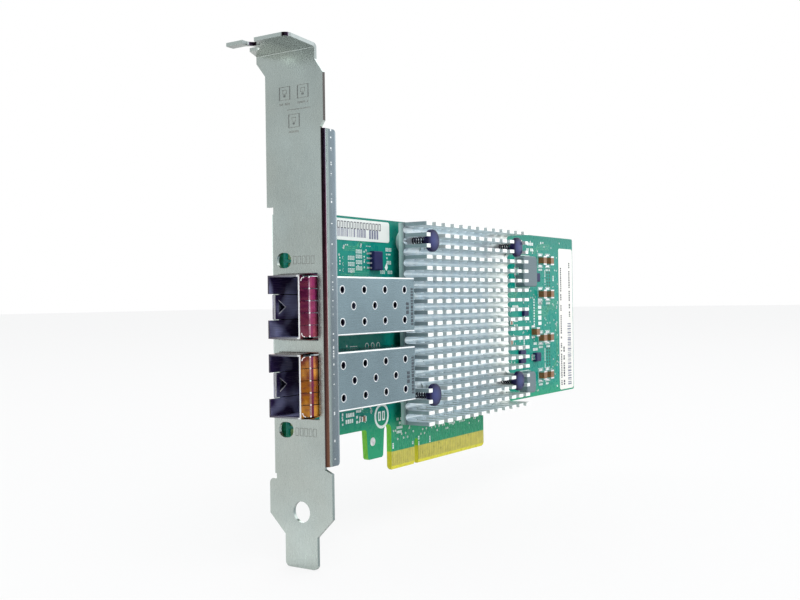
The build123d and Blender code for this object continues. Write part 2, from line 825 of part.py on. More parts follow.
def push_pin_springs():
    """The coil springs between the sink's deck and the pins' collars, in short straight runs."""
    wire = spring_wire / 2
    travel = sink_deck_y - pin_collar_y - spring_wire
    count = spring_turns * spring_steps
    points = []
    for index in range(count + 1):
        turn = 2 * pi * index / spring_steps
        rise = travel * index / count
        points.append((spring_coil_radius * cos(turn), spring_coil_radius * sin(turn), rise))
    path = Polyline(*points)
    start = Plane(origin=path @ 0, z_dir=path % 0)
    coil = sweep(start * RegularPolygon(wire, 4), path=path, transition=Transition.RIGHT)
    return Compound([Pos(x, sink_deck_y - wire, z) * Rot(90, 0, 0) * coil for x, z in pin_axes()])


def gull_lead(x, z, outward, body_half, span_half, width, thickness, lead_height):
    """A bent chip lead that leaves the body along X; outward is its sign."""
    inner = x + outward * body_half
    outer = x + outward * span_half
    knee = outer - outward * memory_lead_foot
    path = [
        (inner, lead_height), (knee, lead_height), (knee, thickness), (outer, thickness), (outer, 0),
        (knee - outward * thickness, 0), (knee - outward * thickness, lead_height - thickness),
        (inner, lead_height - thickness),
    ]
    section = outline([(px, component_face - py) for px, py in path])
    plane = Plane((0, 0, z - width / 2))
    return extrude(plane * section, amount=width)


def memory_chip():
    body = on_board(memory_place, memory_body, lift=memory_lead_thickness / 2)
    return chamfer(body.edges().group_by(Axis.Y)[0], 0.25)


def memory_chip_leads():
    x = board_near_x + memory_place[0]
    middle = board_bottom_z + memory_place[1]
    leads = []
    for outward in (-1, 1):
        for index in range(memory_lead_count):
            z = middle + (index - (memory_lead_count - 1) / 2) * memory_lead_pitch
            leads.append(gull_lead(
                x, z, outward, memory_body[0] / 2, memory_lead_span / 2,
                memory_lead_width, memory_lead_thickness, memory_body[2] / 2,
            ))
    return Compound(leads)


def inductor(place, size):
    body = on_board(place, size)
    body = chamfer(body.edges().filter_by(Axis.Y), inductor_corner_cut)
    return chamfer(body.edges().group_by(Axis.Y)[0], inductor_top_cut)


def inductor_terminals(place, size):
    """The two plated ends that wrap the foot of an inductor."""
    pieces = []
    for side in (-1, 1):
        x = place[0] + side * (size[0] + inductor_terminal_length) / 2
        pieces.append(on_board(
            (x, place[1]), (inductor_terminal_length, inductor_terminal_width, inductor_terminal_height),
        ))
    return Compound(pieces)


def chip_bodies(places, size, end, along):
    """Bodies between plated ends; along is 0 where the ends lie along X and 1 along Z."""
    inner = list(size)
    inner[along] -= 2 * end
    return Compound([on_board(place, inner) for place in places])


def chip_ends(places, size, end, along):
    """The plated ends of the same chips."""
    cap = list(size)
    cap[along] = end
    pieces = []
    for place in places:
        for side in (-1, 1):
            centre = list(place)
            centre[along] += side * (size[along] - end) / 2
            pieces.append(on_board(centre, cap))
    return Compound(pieces)


def diodes():
    pieces = []
    for place in diode_places:
        body = on_board(place, diode_body, lift=0.1)
        pieces.append(chamfer(body.edges().group_by(Axis.Y)[0], 0.3))
    return Compound(pieces)


def diode_leads():
    pieces = []
    for place in diode_places:
        for side in (-1, 1):
            x = place[0] + side * (diode_body[0] + diode_lead_length) / 2
            pieces.append(on_board((x, place[1]), (diode_lead_length, diode_body[1] * 0.6, diode_lead_height)))
    return Compound(pieces)


def regulator_chips():
    """The regulator and the small transistor beside the sink."""
    pieces = []
    for place, size in ((regulator_place, regulator_body), (transistor_place, transistor_body)):
        body = on_board(place, size, lift=0.05)
        pieces.append(chamfer(body.edges().group_by(Axis.Y)[0], 0.15))
    return Compound(pieces)


def regulator_leads():
    """Flat leads along the Z sides of the regulator and the transistor."""
    pieces = []
    lead = (regulator_lead_width, regulator_lead_length, transistor_lead_thickness)
    for side in (-1, 1):
        for index in range(regulator_lead_count):
            x = regulator_place[0] + (index - (regulator_lead_count - 1) / 2) * regulator_lead_pitch
            z = regulator_place[1] + side * (regulator_body[1] + regulator_lead_length) / 2
            pieces.append(on_board((x, z), lead, lift=0.05))
    small = (transistor_lead_width, transistor_lead_length, transistor_lead_thickness)
    for shift, side in ((-1.2, 1), (1.2, 1), (0, -1)):
        z = transistor_place[1] + side * (transistor_body[1] + transistor_lead_length) / 2
        pieces.append(on_board((transistor_place[0] + shift, z), small, lift=0.05))
    return Compound(pieces)


def link_lamps():
    """Four small lamps behind the bracket's two sight holes."""
    pieces = []
    for lamp_height in lamp_hole_heights:
        middle = height(lamp_height) - board_bottom_z
        for side in (-1, 1):
            pieces.append(on_board((lamp_distance, middle + side * lamp_spacing / 2), lamp_body))
    return Compound(pieces)


def rear_chip_places():
    """Centres of the decoupling capacitors on the solder face, as X and Z."""
    xs = [sink_middle_x + (i - (rear_chip_columns - 1) / 2) * rear_chip_pitch for i in range(rear_chip_columns)]
    zs = [sink_middle_z + (i - (rear_chip_rows - 1) / 2) * rear_chip_pitch for i in range(rear_chip_rows)]
    return [(x, z) for x in xs for z in zs]


def rear_block(x, z, length):
    """A box on the solder face, length along X."""
    half_z = rear_chip_body[1] / 2
    ys = (solder_face, solder_face + rear_chip_body[2])
    return block((x - length / 2, x + length / 2), ys, (z - half_z, z + half_z))


def rear_capacitors():
    length = rear_chip_body[0] - 2 * rear_chip_end
    return Compound([rear_block(x, z, length) for x, z in rear_chip_places()])


def rear_capacitor_ends():
    shift = (rear_chip_body[0] - rear_chip_end) / 2
    places = [(x + side * shift, z) for x, z in rear_chip_places() for side in (-1, 1)]
    return Compound([rear_block(x, z, rear_chip_end) for x, z in places])


def label(near, low, width, tall):
    """A thin label on the component face; near and low are its corner from the board's edges."""
    x = board_near_x + near + width / 2
    z = board_bottom_z + low + tall / 2
    face = chamfer(Rectangle(width, tall).vertices(), label_corner_cut)
    return plate(Pos(x, z) * face, component_face, label_thickness)


def all_parts():
    parts = {
        "bracket": bracket(),
        "bracket_screws": bracket_screws(),
        "circuit_board": circuit_board(),
        "edge_contacts_front": edge_contacts(component_face, -1),
        "edge_contacts_rear": edge_contacts(solder_face, 1),
        "controller_base": controller_base(),
        "controller_lid": controller_lid(),
        "thermal_pad": thermal_pad(),
        "heat_sink": heat_sink(),
        "push_pins": push_pins(),
        "push_pin_springs": push_pin_springs(),
        "memory_chip": memory_chip(),
        "memory_chip_leads": memory_chip_leads(),
        "diodes": diodes(),
        "diode_leads": diode_leads(),
        "regulator_chips": regulator_chips(),
        "regulator_leads": regulator_leads(),
        "link_lamps": link_lamps(),
        "rear_capacitors": rear_capacitors(),
        "rear_capacitor_ends": rear_capacitor_ends(),
        "near_label": label(*near_label),
        "far_label": label(*far_label),
    }
    for name, port_height in zip(port_names, port_heights):
        parts[name + "_port_cage"] = port_cage(port_height)
        parts[name + "_cage_springs"] = cage_springs(port_height)
        parts[name + "_socket"] = socket(port_height)
        parts[name + "_socket_contacts"] = socket_contacts(port_height)
    for name, place, size in zip(("large", "small"), inductor_places, inductor_sizes):
        parts[name + "_inductor"] = inductor(place, size)
        parts[name + "_inductor_terminals"] = inductor_terminals(place, size)
    parts["ceramic_capacitors"] = chip_bodies(large_capacitor_places, large_capacitor, large_capacitor_end, 1)
    parts["ceramic_capacitor_ends"] = chip_ends(large_capacitor_places, large_capacitor, large_capacitor_end, 1)
    parts["small_capacitors"] = chip_bodies(small_chip_places, small_chip_body, small_chip_end, 0)
    parts["small_capacitor_ends"] = chip_ends(small_chip_places, small_chip_body, small_chip_end, 0)
    return parts


os.makedirs("parts", exist_ok=True)
for node, shape in all_parts().items():
    export_step(shape, f"parts/{node}.step")
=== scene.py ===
import bmesh
import bpy
import json
import math
import random
from mathutils import Matrix, Vector


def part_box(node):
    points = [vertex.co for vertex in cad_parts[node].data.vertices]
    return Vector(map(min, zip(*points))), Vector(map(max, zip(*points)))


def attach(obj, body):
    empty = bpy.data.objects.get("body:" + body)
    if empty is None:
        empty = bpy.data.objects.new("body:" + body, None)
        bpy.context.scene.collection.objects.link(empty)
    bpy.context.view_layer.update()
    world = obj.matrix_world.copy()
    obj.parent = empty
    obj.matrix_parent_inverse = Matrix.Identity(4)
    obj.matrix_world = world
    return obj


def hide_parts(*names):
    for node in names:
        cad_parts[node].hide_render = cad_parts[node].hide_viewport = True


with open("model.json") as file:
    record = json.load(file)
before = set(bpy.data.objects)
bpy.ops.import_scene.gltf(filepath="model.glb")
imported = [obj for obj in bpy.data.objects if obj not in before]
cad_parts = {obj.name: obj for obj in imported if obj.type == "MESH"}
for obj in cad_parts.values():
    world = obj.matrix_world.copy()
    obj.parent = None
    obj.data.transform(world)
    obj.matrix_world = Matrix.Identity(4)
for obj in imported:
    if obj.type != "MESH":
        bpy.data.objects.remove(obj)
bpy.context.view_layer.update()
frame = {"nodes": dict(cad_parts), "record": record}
nodes = frame["nodes"]

# Lengths in this script are millimetres until a point is placed.
MM = 0.001

# Places read from the frame
board_near, board_far = (corner.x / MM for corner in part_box("circuit_board"))
component_face, solder_face = (corner.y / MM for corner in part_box("circuit_board"))
foot_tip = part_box("bracket")[0].z / MM
sink_low, sink_high = (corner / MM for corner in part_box("heat_sink"))
pins_low, pins_high = (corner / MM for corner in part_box("push_pins"))
cage_mouth, cage_roof = (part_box("upper_port_cage")[0].x / MM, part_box("upper_port_cage")[0].y / MM)
collar_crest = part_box("upper_cage_springs")[0].y / MM

# The board and its edge contacts
board_bottom = 12.3             # the board's long lower edge, above the tongue's lower edge
key_width = 1.9                 # the key notch's middle is at X = 0
tongue_near_width = 11.65
tongue_start = -key_width / 2 - tongue_near_width
first_contact_inset = 1.1
key_contact_step = 3.0          # between the contacts on the two sides of the key
contact_top = 4.9
hook_hole = (35.75, -3.5)
hook_hole_radius = 1.15

# The bracket, with heights above the foot's tip
bracket_face = -59.1
foot_edge = 2.715
flange_depth = 4.4
flange_top = foot_tip + 101.2
port_heights = (42.33, 60.5)
port_middles = [foot_tip + height for height in port_heights]

# The ports' collars and cages
ridge_place = 1.89              # from the mouth to the ridge of the collars' fingers
ridge_level = collar_crest + 0.8
ridge_slope = 1.25 / ridge_place
cage_floor = component_face - 0.5
cage_half_width = 7.15

# The heat sink and its push pins
fin_height = 7.6
base_thickness = 1.5
fin_columns = 13
fin_column_pitch = 4.865
fin_length = 2.7
fin_rows = 19
fin_row_pitch = 3.005
fin_thickness = 1.0
sink_deck = sink_low.y + fin_height
pocket_radius = 3.35
pin_inset = 5.0
pin_rows = (2, 16)
pin_xs = (sink_low.x + pin_inset, sink_high.x - pin_inset)
pin_zs = [sink_low.z + fin_thickness / 2 + (row + 0.5) * fin_row_pitch for row in pin_rows]
pin_axes = [(x, z) for x in pin_xs for z in pin_zs]
pin_head_radius = 3.05
pin_head_depth = 1.3
pin_collar_depth = 2.8          # from the head's top to where the spring begins
wire_radius = 0.19
coil_radius = 1.0
coil_turns = 5.0

# Print, copper and labels
print_thickness = 0.02
track_thickness = 0.03
track_width = 0.22
via_radius = 0.3
via_bore = 0.14
label_face = 0.1
near_label_corner = (19.6, 49.65)
near_label_size = (25.2, 5.55)
near_label_turn = 0.7
far_label_corner = (155.0, 0.55)

# The camera, fitted to the photograph
camera_place = (-242.37, -155.24, 46.41)
camera_heading = 33.314         # degrees from +X towards +Y
camera_pitch = -0.011
camera_roll = -0.802
camera_lens = 45.635            # on a 36 mm wide sensor
away_from_camera = (0.836, 0.549, 0.0)


# Node trees

class Tree:
    """Short ways to add to a node tree."""

    def __init__(self, tree):
        self.tree = tree

    def add(self, kind, **settings):
        node = self.tree.nodes.new("ShaderNode" + kind)
        for name, value in settings.items():
            setattr(node, name, value)
        return node

    def join(self, output, socket):
        self.tree.links.new(output, socket)

    def math(self, operation, *values):
        """A Math node on outputs and numbers."""
        node = self.add("Math", operation=operation)
        for socket, value in zip(node.inputs, values):
            if isinstance(value, float):
                socket.default_value = value
            else:
                self.join(value, socket)
        return node.outputs["Value"]

    def remap(self, value, low, high, to_low=0.0, to_high=1.0):
        """A value carried from one range to another, and kept within it."""
        node = self.add("MapRange")
        sockets = ("From Min", "From Max", "To Min", "To Max")
        for socket, limit in zip(sockets, (low, high, to_low, to_high)):
            node.inputs[socket].default_value = limit
        self.join(value, node.inputs["Value"])
        return node.outputs["Result"]

    def ramp(self, value, *stops):
        """A colour ramp; stops are (place, colour)."""
        node = self.add("ValToRGB")
        elements = node.color_ramp.elements
        while len(elements) < len(stops):
            elements.new(0.5)
        for element, (place, color) in zip(elements, stops):
            element.position = place
            element.color = (*color, 1)
        self.join(value, node.inputs["Fac"])
        return node.outputs["Color"]


class Look(Tree):
    """A principled material, with masks and textures in the row frame, in millimetres."""

    def __init__(self, name, color, metallic=0.0, roughness=0.5):
        self.name = name
        self.material = bpy.data.materials.new(name)
        self.material.use_nodes = True
        super().__init__(self.material.node_tree)
        self.shader = self.tree.nodes["Principled BSDF"]
        self.set("Base Color", (*color, 1))
        self.set("Metallic", metallic)
        self.set("Roughness", roughness)

    def set(self, socket, value):
        """Sets one of the shader's own sockets."""
        self.shader.inputs[socket].default_value = value

    def link(self, socket, output):
        """Joins an output to one of the shader's sockets."""
        self.join(output, self.shader.inputs[socket])

    def place(self, stretch=(1, 1, 1)):
        """The point's place, scaled along each axis."""
        coordinates = self.add("TexCoord")
        mapping = self.add("Mapping")
        mapping.inputs["Scale"].default_value = [value / MM for value in stretch]
        self.join(coordinates.outputs["Object"], mapping.inputs["Vector"])
        return mapping.outputs["Vector"]

    def noise(self, scale, stretch=(1, 1, 1), detail=3.0):
        texture = self.add("TexNoise")
        texture.inputs["Scale"].default_value = scale
        texture.inputs["Detail"].default_value = detail
        self.join(self.place(stretch), texture.inputs["Vector"])
        return texture.outputs["Fac"]

    def split(self, vector, axis):
        node = self.add("SeparateXYZ")
        self.join(vector, node.inputs["Vector"])
        return node.outputs[axis]

    def at(self, axis):
        """One coordinate of the point."""
        return self.split(self.place(), axis)

    def facing(self, axis):
        """How far the surface faces along one axis, from -1 to 1."""
        return self.split(self.add("NewGeometry").outputs["Normal"], axis)

    def product(self, first, second):
        """Two masks multiplied."""
        return self.math("MULTIPLY", first, second)

    def larger(self, first, second):
        """The larger of two masks."""
        return self.math("MAXIMUM", first, second)

    def between(self, value, low, high, soft=0.1):
        """1 where the value lies between two limits."""
        rise = self.remap(value, low - soft, low)
        return self.product(rise, self.remap(value, high, high + soft, 1.0, 0.0))

    def from_planes(self, axis, planes):
        """Distance outwards from two planes across an axis, less than 0 between them."""
        middle = (planes[0] + planes[1]) / 2
        half = (planes[1] - planes[0]) / 2
        away = self.math("ABSOLUTE", self.math("SUBTRACT", self.at(axis), middle))
        return self.math("SUBTRACT", away, half)

    def from_port(self):
        """Distance along Z from the middle of the nearer port."""
        return self.math("ABSOLUTE", self.from_planes("Z", port_middles))

    def mix(self, mask, first, second):
        """The first colour where the mask is 0, and the second where it is 1."""
        node = self.add("Mix", data_type="RGBA")
        self.join(mask, node.inputs["Factor"])
        for socket, color in ((node.inputs[6], first), (node.inputs[7], second)):
            if isinstance(color, tuple):
                socket.default_value = (*color, 1)
            else:
                self.join(color, socket)
        return node.outputs[2]

    def paint(self, mask, color):
        """Lays a colour over the tint where the mask is 1."""
        self.tint = self.mix(mask, self.tint, color)

    def texture(self, value, smooth, rough, height, edge, sheen=None):
        """Relief and roughness by a texture, or roughness by another; edges look a little rounded."""
        self.link("Roughness", self.remap(sheen or value, 0.3, 0.7, smooth, rough))
        relief = self.add("Bump")
        relief.inputs["Strength"].default_value = 1.0
        relief.inputs["Distance"].default_value = height * MM
        self.join(value, relief.inputs["Height"])
        rounding = self.add("Bevel", samples=4)
        rounding.inputs["Radius"].default_value = edge * MM
        self.join(rounding.outputs["Normal"], relief.inputs["Normal"])
        self.link("Normal", relief.outputs["Normal"])
        self.link("Base Color", self.tint)


# Materials

def shade(color, factor):
    """A colour made darker or lighter, up to white."""
    return tuple(min(1.0, value * factor) for value in color)


def uneven(look, color, roughness, grain, detail, tones, depth, edge):
    """One colour, a little uneven in tint, roughness and relief; tones are the shares of its ends."""
    texture = look.noise(grain, detail=detail)
    dark, pale = (shade(color, tone) for tone in tones)
    look.tint = look.ramp(texture, (0.3, dark), (0.7, pale))
    look.texture(texture, roughness - 0.08, roughness + 0.1, depth, edge)
    return look


def plated(name, color, roughness=0.25, grain=1.2, depth=0.004):
    """Plated or bare metal with a fine uneven surface."""
    look = Look(name, color, 1.0, roughness)
    return uneven(look, color, roughness, grain, 3.0, (0.8, 1.12), depth, 0.05)


def moulded(name, color, roughness=0.45, grain=3.0, depth=0.006, gloss=0.5):
    """Moulded plastic, epoxy or print with a fine matte texture."""
    look = Look(name, color, 0.0, roughness)
    look.set("Specular IOR Level", gloss)
    return uneven(look, color, roughness, grain, 4.0, (0.75, 1.25), depth, 0.06)


def sheet_steel(name, color, grain, patch):
    """Rolled sheet metal, grained along one direction, with cloudy patches, and painted shade where it faces
    down.
    """
    look = Look(name, color, 1.0)
    lines = look.noise(1.6, stretch=grain)
    pale = shade(color, 1.12)
    look.tint = look.ramp(look.noise(0.09), (0.32, shade(color, patch)), (0.68, pale))
    look.paint(look.remap(lines, 0.35, 0.65, 0.0, 0.3), pale)
    # painted shade: faces turned downwards are darkened towards a quarter of the colour
    look.paint(look.remap(look.facing("Z"), -0.9, -0.3, 0.88, 0.0), shade(color, 0.25))
    look.texture(lines, 0.18, 0.32, 0.003, 0.06)
    return look


def bracket_steel():
    """The bracket's sheet, with a painted dark reflection along the bend between its face and its free
    flange, a painted shadow over the lower part of its face, and painted light, shade and glints across the
    flange.
    """
    look = sheet_steel("bracket_steel", (0.58, 0.65, 0.615), (1.0, 5.0, 0.3), 0.9)
    up = look.at("Z")
    look.paint(look.remap(look.noise(0.05, detail=2.0), 0.4, 0.6, 0.0, 0.5), (0.60, 0.63, 0.565))
    shadow = look.product(look.remap(up, -12.0, 8.0), look.remap(up, 14.0, 34.0, 0.3, 0.0))
    look.paint(shadow, (0.20, 0.22, 0.21))

    # painted dark reflection in the bend: maroon to black by height, darker where the bend turns towards -Y
    bend_reflection = look.ramp(
        look.remap(up, 8.0, 86.0), (0.0, (0.16, 0.08, 0.05)), (0.28, (0.125, 0.056, 0.047)),
        (0.50, (0.10, 0.034, 0.042)), (0.73, (0.078, 0.030, 0.053)), (0.92, (0.044, 0.030, 0.054)),
    )
    outward = look.facing("Y")
    bend_reflection = look.mix(look.remap(outward, -0.62, -0.36, 0.0, 0.75), bend_reflection, (0.03, 0.015, 0.02))
    bend = look.remap(look.product(look.facing("X"), outward), 0.08, 0.22)
    look.paint(bend, bend_reflection)

    # painted light and shade across the free flange: lighter by the bend, darker in the middle, with a
    # painted highlight along its free edge
    deep = look.at("X")
    flange = look.ramp(
        look.remap(deep, bracket_face, bracket_face + flange_depth), (0.0, (0.30, 0.36, 0.35)),
        (0.28, (0.29, 0.35, 0.34)), (0.42, (0.17, 0.21, 0.23)), (0.88, (0.19, 0.235, 0.27)),
        (0.95, (0.34, 0.40, 0.43)),
    )
    # painted glints: a row of near-white spots along the flange
    spots = look.noise(1.5, stretch=(0.1, 0.1, 1.0), detail=1.0)
    row = look.between(deep, bracket_face + 2.4, bracket_face + 2.75)
    flange_glints = look.product(row, look.remap(spots, 0.6, 0.66, 0.0, 0.9))
    flange = look.mix(flange_glints, flange, (0.85, 0.88, 0.88))
    edges = look.mix(look.remap(up, 98.9, 99.8), (0.10, 0.09, 0.085), (0.36, 0.40, 0.39))
    above = look.remap(up, flange_top - 0.1, flange_top + 0.2)
    look.paint(look.remap(outward, -0.98, -0.9, 1.0, 0.0), look.mix(above, flange, edges))
    look.link("Base Color", look.tint)
    return look


def paint_mouth_light(look):
    """Cut edges round a port's mouth: a painted highlight along the roof, grey at the sides, painted shade
    down by the board.
    """
    front = look.remap(look.at("X"), cage_mouth + 0.01, cage_mouth + 0.04, 1.0, 0.0)
    deep = look.remap(look.at("Y"), cage_roof - 0.3, component_face)
    look.paint(front, look.ramp(
        deep, (0.0, (0.95, 0.97, 0.97)), (0.09, (0.95, 0.97, 0.97)), (0.12, (0.30, 0.32, 0.33)),
        (0.7, (0.16, 0.15, 0.19)), (1.0, (0.05, 0.04, 0.07)),
    ))
    return front


def cage_metal():
    """The cages' sheet, with painted highlights on the bends and mouth edges, and inside a smooth painted
    navy shade with soft painted reflections.
    """
    look = sheet_steel("cage_nickel", (0.19, 0.262, 0.292), (0.15, 1.0, 5.0), 0.95)
    across = look.from_port()
    deep = look.at("Y")
    # painted shade inside the cage: dark navy, with painted soft reflections in lighter blue patches
    beside = look.remap(across, cage_half_width - 0.22, cage_half_width - 0.17, 1.0, 0.0)
    inside_shade = look.product(beside, look.remap(deep, cage_roof + 0.1, cage_roof + 0.15))
    painted_sheen = look.remap(look.noise(0.16, detail=1.0), 0.45, 0.66)
    look.paint(inside_shade, look.mix(painted_sheen, (0.035, 0.022, 0.08), (0.42, 0.45, 0.70)))
    # painted highlights along the roof's folded long edges
    behind = look.remap(look.at("X"), bracket_face + 1.0, bracket_face + 1.2)
    sides = look.product(behind, look.remap(across, cage_half_width - 0.43, cage_half_width - 0.35))
    bend_highlights = look.product(sides, look.remap(deep, cage_roof + 0.02, cage_roof + 0.3, 1.0, 0.0))
    look.paint(bend_highlights, (0.95, 0.97, 0.97))
    front = paint_mouth_light(look)
    painted = look.larger(look.larger(bend_highlights, front), inside_shade)
    look.link("Metallic", look.remap(painted, 0.0, 1.0, 1.0, 0.15))
    look.link("Base Color", look.tint)
    return look


def collar_metal():
    """Plated spring metal, orange-brown at the lower port and maroon at the upper one, streaked, with a
    painted sheen, a painted highlight along the fingers' ridge, painted shade just past it, and painted
    light and shade on the mouth edges.
    """
    look = Look("collar_spring", (0.6, 0.35, 0.3), 1.0, 0.2)
    up = look.remap(look.at("Z"), 19.0, 53.0)
    look.tint = look.ramp(
        up, (0.0, (0.32, 0.125, 0.014)), (0.2, (0.26, 0.09, 0.011)), (0.42, (0.16, 0.045, 0.018)),
        (0.56, (0.17, 0.035, 0.05)), (0.75, (0.095, 0.010, 0.045)), (1.0, (0.10, 0.011, 0.045)),
    )
    streaks = look.noise(0.5, stretch=(1.0, 1.0, 2.6), detail=4.0)
    look.paint(look.remap(streaks, 0.45, 0.62, 0.0, 0.6), (0.11, 0.025, 0.035))
    # painted sheen: bright gold patches at the lower port, dull maroon at the upper one
    sheen_tint = look.ramp(up, (0.3, (0.62, 0.30, 0.05)), (0.6, (0.20, 0.06, 0.10)))
    painted_sheen = look.noise(0.35, stretch=(1.2, 1.0, 0.6), detail=1.5)
    look.paint(look.remap(painted_sheen, 0.5, 0.68, 0.0, 0.6), sheen_tint)

    from_mouth = look.at("X")
    patches = look.noise(0.3, stretch=(0.2, 0.2, 1.0), detail=1.0)
    # painted highlight along the fingers' ridge, then a band of painted shade just past it
    ridge_highlight = look.between(from_mouth, cage_mouth + 1.8, cage_mouth + 2.15)
    look.paint(look.product(ridge_highlight, look.remap(patches, 0.4, 0.6, 0.1, 0.85)), (0.26, 0.19, 0.22))
    look.paint(look.between(from_mouth, cage_mouth + 2.25, cage_mouth + 2.75), (0.12, 0.02, 0.05))
    front = paint_mouth_light(look)
    look.link("Metallic", look.remap(front, 0.0, 1.0, 1.0, 0.15))
    look.texture(streaks, 0.14, 0.3, 0.01, 0.08)
    return look


def board_mask():
    """Solder mask on the faces, laminate on the edges and between the contacts, painted shade under the
    cages, and painted shadow along the heat sink.
    """
    look = Look("board_laminate", (0.03, 0.3, 0.2))
    look.set("Specular IOR Level", 0.13)
    along = look.at("X")
    up = look.at("Z")
    weave = look.noise(0.55, detail=4.0)
    # painted shadow of the heat sink: the green darkens along the sink and is darkest by its far edge
    look.tint = look.ramp(
        look.remap(along, board_near, board_far), (0.0, (0.002, 0.20, 0.165)),
        (0.3, (0.002, 0.21, 0.175)), (0.66, (0.003, 0.13, 0.115)), (0.71, (0.003, 0.24, 0.19)),
        (1.0, (0.004, 0.245, 0.195)),
    )
    look.paint(look.remap(weave, 0.42, 0.6, 0.0, 0.3), (0.012, 0.27, 0.17))
    look.paint(look.remap(up, board_bottom - 1.0, board_bottom + 5.0, 0.5, 0.0), (0.022, 0.36, 0.11))
    look.paint(look.remap(up, board_bottom + 47.0, board_bottom + 55.0, 0.0, 0.35), (0.006, 0.13, 0.09))

    tongue = look.remap(along, tongue_start - 0.4, tongue_start - 0.1)
    low = look.product(tongue, look.remap(up, contact_top, contact_top + 0.1, 1.0, 0.0))
    look.paint(low, look.mix(look.remap(weave, 0.4, 0.6), (0.42, 0.40, 0.085), (0.50, 0.46, 0.11)))
    grain = look.noise(0.9, stretch=(1, 4, 1))
    laminate = look.ramp(grain, (0.3, (0.15, 0.52, 0.055)), (0.7, (0.25, 0.66, 0.08)))
    near_edge = look.remap(along, board_near + 0.02, board_near + 0.1, 0.9, 0.0)
    laminate = look.mix(near_edge, laminate, (0.004, 0.25, 0.16))
    laminate = look.mix(low, laminate, (0.66, 0.62, 0.04))
    face = look.remap(look.math("ABSOLUTE", look.facing("Y")), 0.96, 0.99)
    look.tint = look.mix(face, laminate, look.tint)

    # painted shade on the board under the cages, near the bracket
    under = look.remap(look.from_port(), 8.8, 8.9, 1.0, 0.0)
    start = look.remap(along, board_near + 14.0, board_near + 14.2, 1.0, 0.0)
    look.paint(look.product(under, start), (0.012, 0.012, 0.03))
    look.texture(weave, 0.22, 0.36, 0.004, 0.05)
    return look


def sink_metal():
    """Machined aluminium: painted white highlights on the fin ends, a painted pale blue reflection on the
    floors turning cream at the far end, and painted shade on the ends of the rows facing the bracket.
    """
    look = Look("sink_aluminium", (0.8, 0.83, 0.86), 0.9)
    along = look.at("X")
    deep = look.at("Y")
    patches = look.noise(0.35, detail=4.0)
    # painted reflection: pale blue over most of the sink, turning cream towards the far end
    blue = look.ramp(patches, (0.32, (0.80, 0.90, 0.96)), (0.68, (0.92, 0.98, 1.0)))
    cream = look.ramp(patches, (0.32, (0.86, 0.88, 0.80)), (0.68, (0.97, 0.97, 0.90)))
    far = look.remap(along, sink_high.x - 16.0, sink_high.x + 2.0, 0.0, 0.85)
    look.tint = look.mix(far, blue, cream)

    # painted shade on the fins' faces towards the bracket, darkest on the first column
    above = look.remap(deep, sink_deck - 0.1, sink_deck + 0.1, 1.0, 0.0)
    side = look.product(look.remap(look.facing("X"), -0.9, -0.5, 1.0, 0.0), above)
    later = look.remap(along, sink_low.x + 0.5, sink_low.x + 1.0)
    look.paint(side, look.mix(later, (0.25, 0.345, 0.37), (0.50, 0.58, 0.57)))
    below = look.remap(deep, sink_deck - 0.02, sink_deck + 0.2)
    look.paint(below, look.ramp(
        look.remap(deep, sink_deck, sink_deck + 2.0), (0.0, (0.24, 0.36, 0.37)),
        (0.5, (0.48, 0.66, 0.64)), (1.0, (0.56, 0.76, 0.74)),
    ))
    # painted highlight: the fin ends are painted near white and made less metallic
    end = look.remap(deep, sink_low.y + 0.02, sink_low.y + 0.3, 1.0, 0.0)
    look.paint(end, (0.88, 0.92, 0.90))
    painted = look.larger(look.larger(end, side), below)
    look.link("Metallic", look.remap(painted, 0.0, 1.0, 0.8, 0.1))
    look.texture(look.noise(1.4, stretch=(0.25, 2.5, 3.0)), 0.26, 0.36, 0.0015, 0.05)
    return look


def label_film():
    """Printed film: warm white, a little uneven, with painted shade making it greyer near the bracket."""
    look = Look("label_white", (0.86, 0.85, 0.80))
    patches = look.noise(0.25, detail=2.0)
    look.tint = look.ramp(patches, (0.3, (0.76, 0.765, 0.72)), (0.7, (0.83, 0.825, 0.78)))
    # painted shade: greyer towards the bracket
    look.paint(look.remap(look.at("X"), -40.0, 20.0, 0.75, 0.0), (0.60, 0.66, 0.65))
    look.texture(look.noise(2.2), 0.34, 0.5, 0.003, 0.05, sheen=patches)
    return look


def pin_plastic():
    """Dark blue plastic, with a painted highlight in the middle of the heads and painted shade towards their
    rims; painted pale where the springs go round it, as painted light between the coils.
    """
    look = moulded("pin_plastic", (0.012, 0.010, 0.055), 0.35, gloss=0.2)
    away = [look.from_planes(axis, planes) for axis, planes in (("X", pin_xs), ("Z", pin_zs))]
    square = look.math("ADD", *(look.product(distance, distance) for distance in away))
    # painted highlight in the middle of the heads, painted shade darkening towards their rims
    head_shading = look.ramp(
        look.remap(square, 0.0, pin_head_radius ** 2), (0.0, (0.035, 0.046, 0.16)),
        (0.35, (0.022, 0.028, 0.11)), (0.7, (0.010, 0.011, 0.055)), (1.0, (0.007, 0.006, 0.03)),
    )
    deep = look.at("Y")
    look.paint(look.remap(deep, pins_low.y + 0.05, pins_low.y + 0.3, 1.0, 0.0), head_shading)
    # painted light: the shank inside the springs is painted pale grey, seen between the coils
    spring_start = pins_low.y + pin_collar_depth + 0.05
    look.paint(look.between(deep, spring_start, sink_deck - 0.1, 0.05), (0.30, 0.33, 0.36))
    look.link("Base Color", look.tint)
    return look


def lamp_plastic():
    """Clear, coated plastic of the lamps."""
    look = moulded("lamp_clear", (0.55, 0.75, 0.35), 0.2, 1.0, 0.002)
    look.set("Coat Weight", 0.6)
    return look


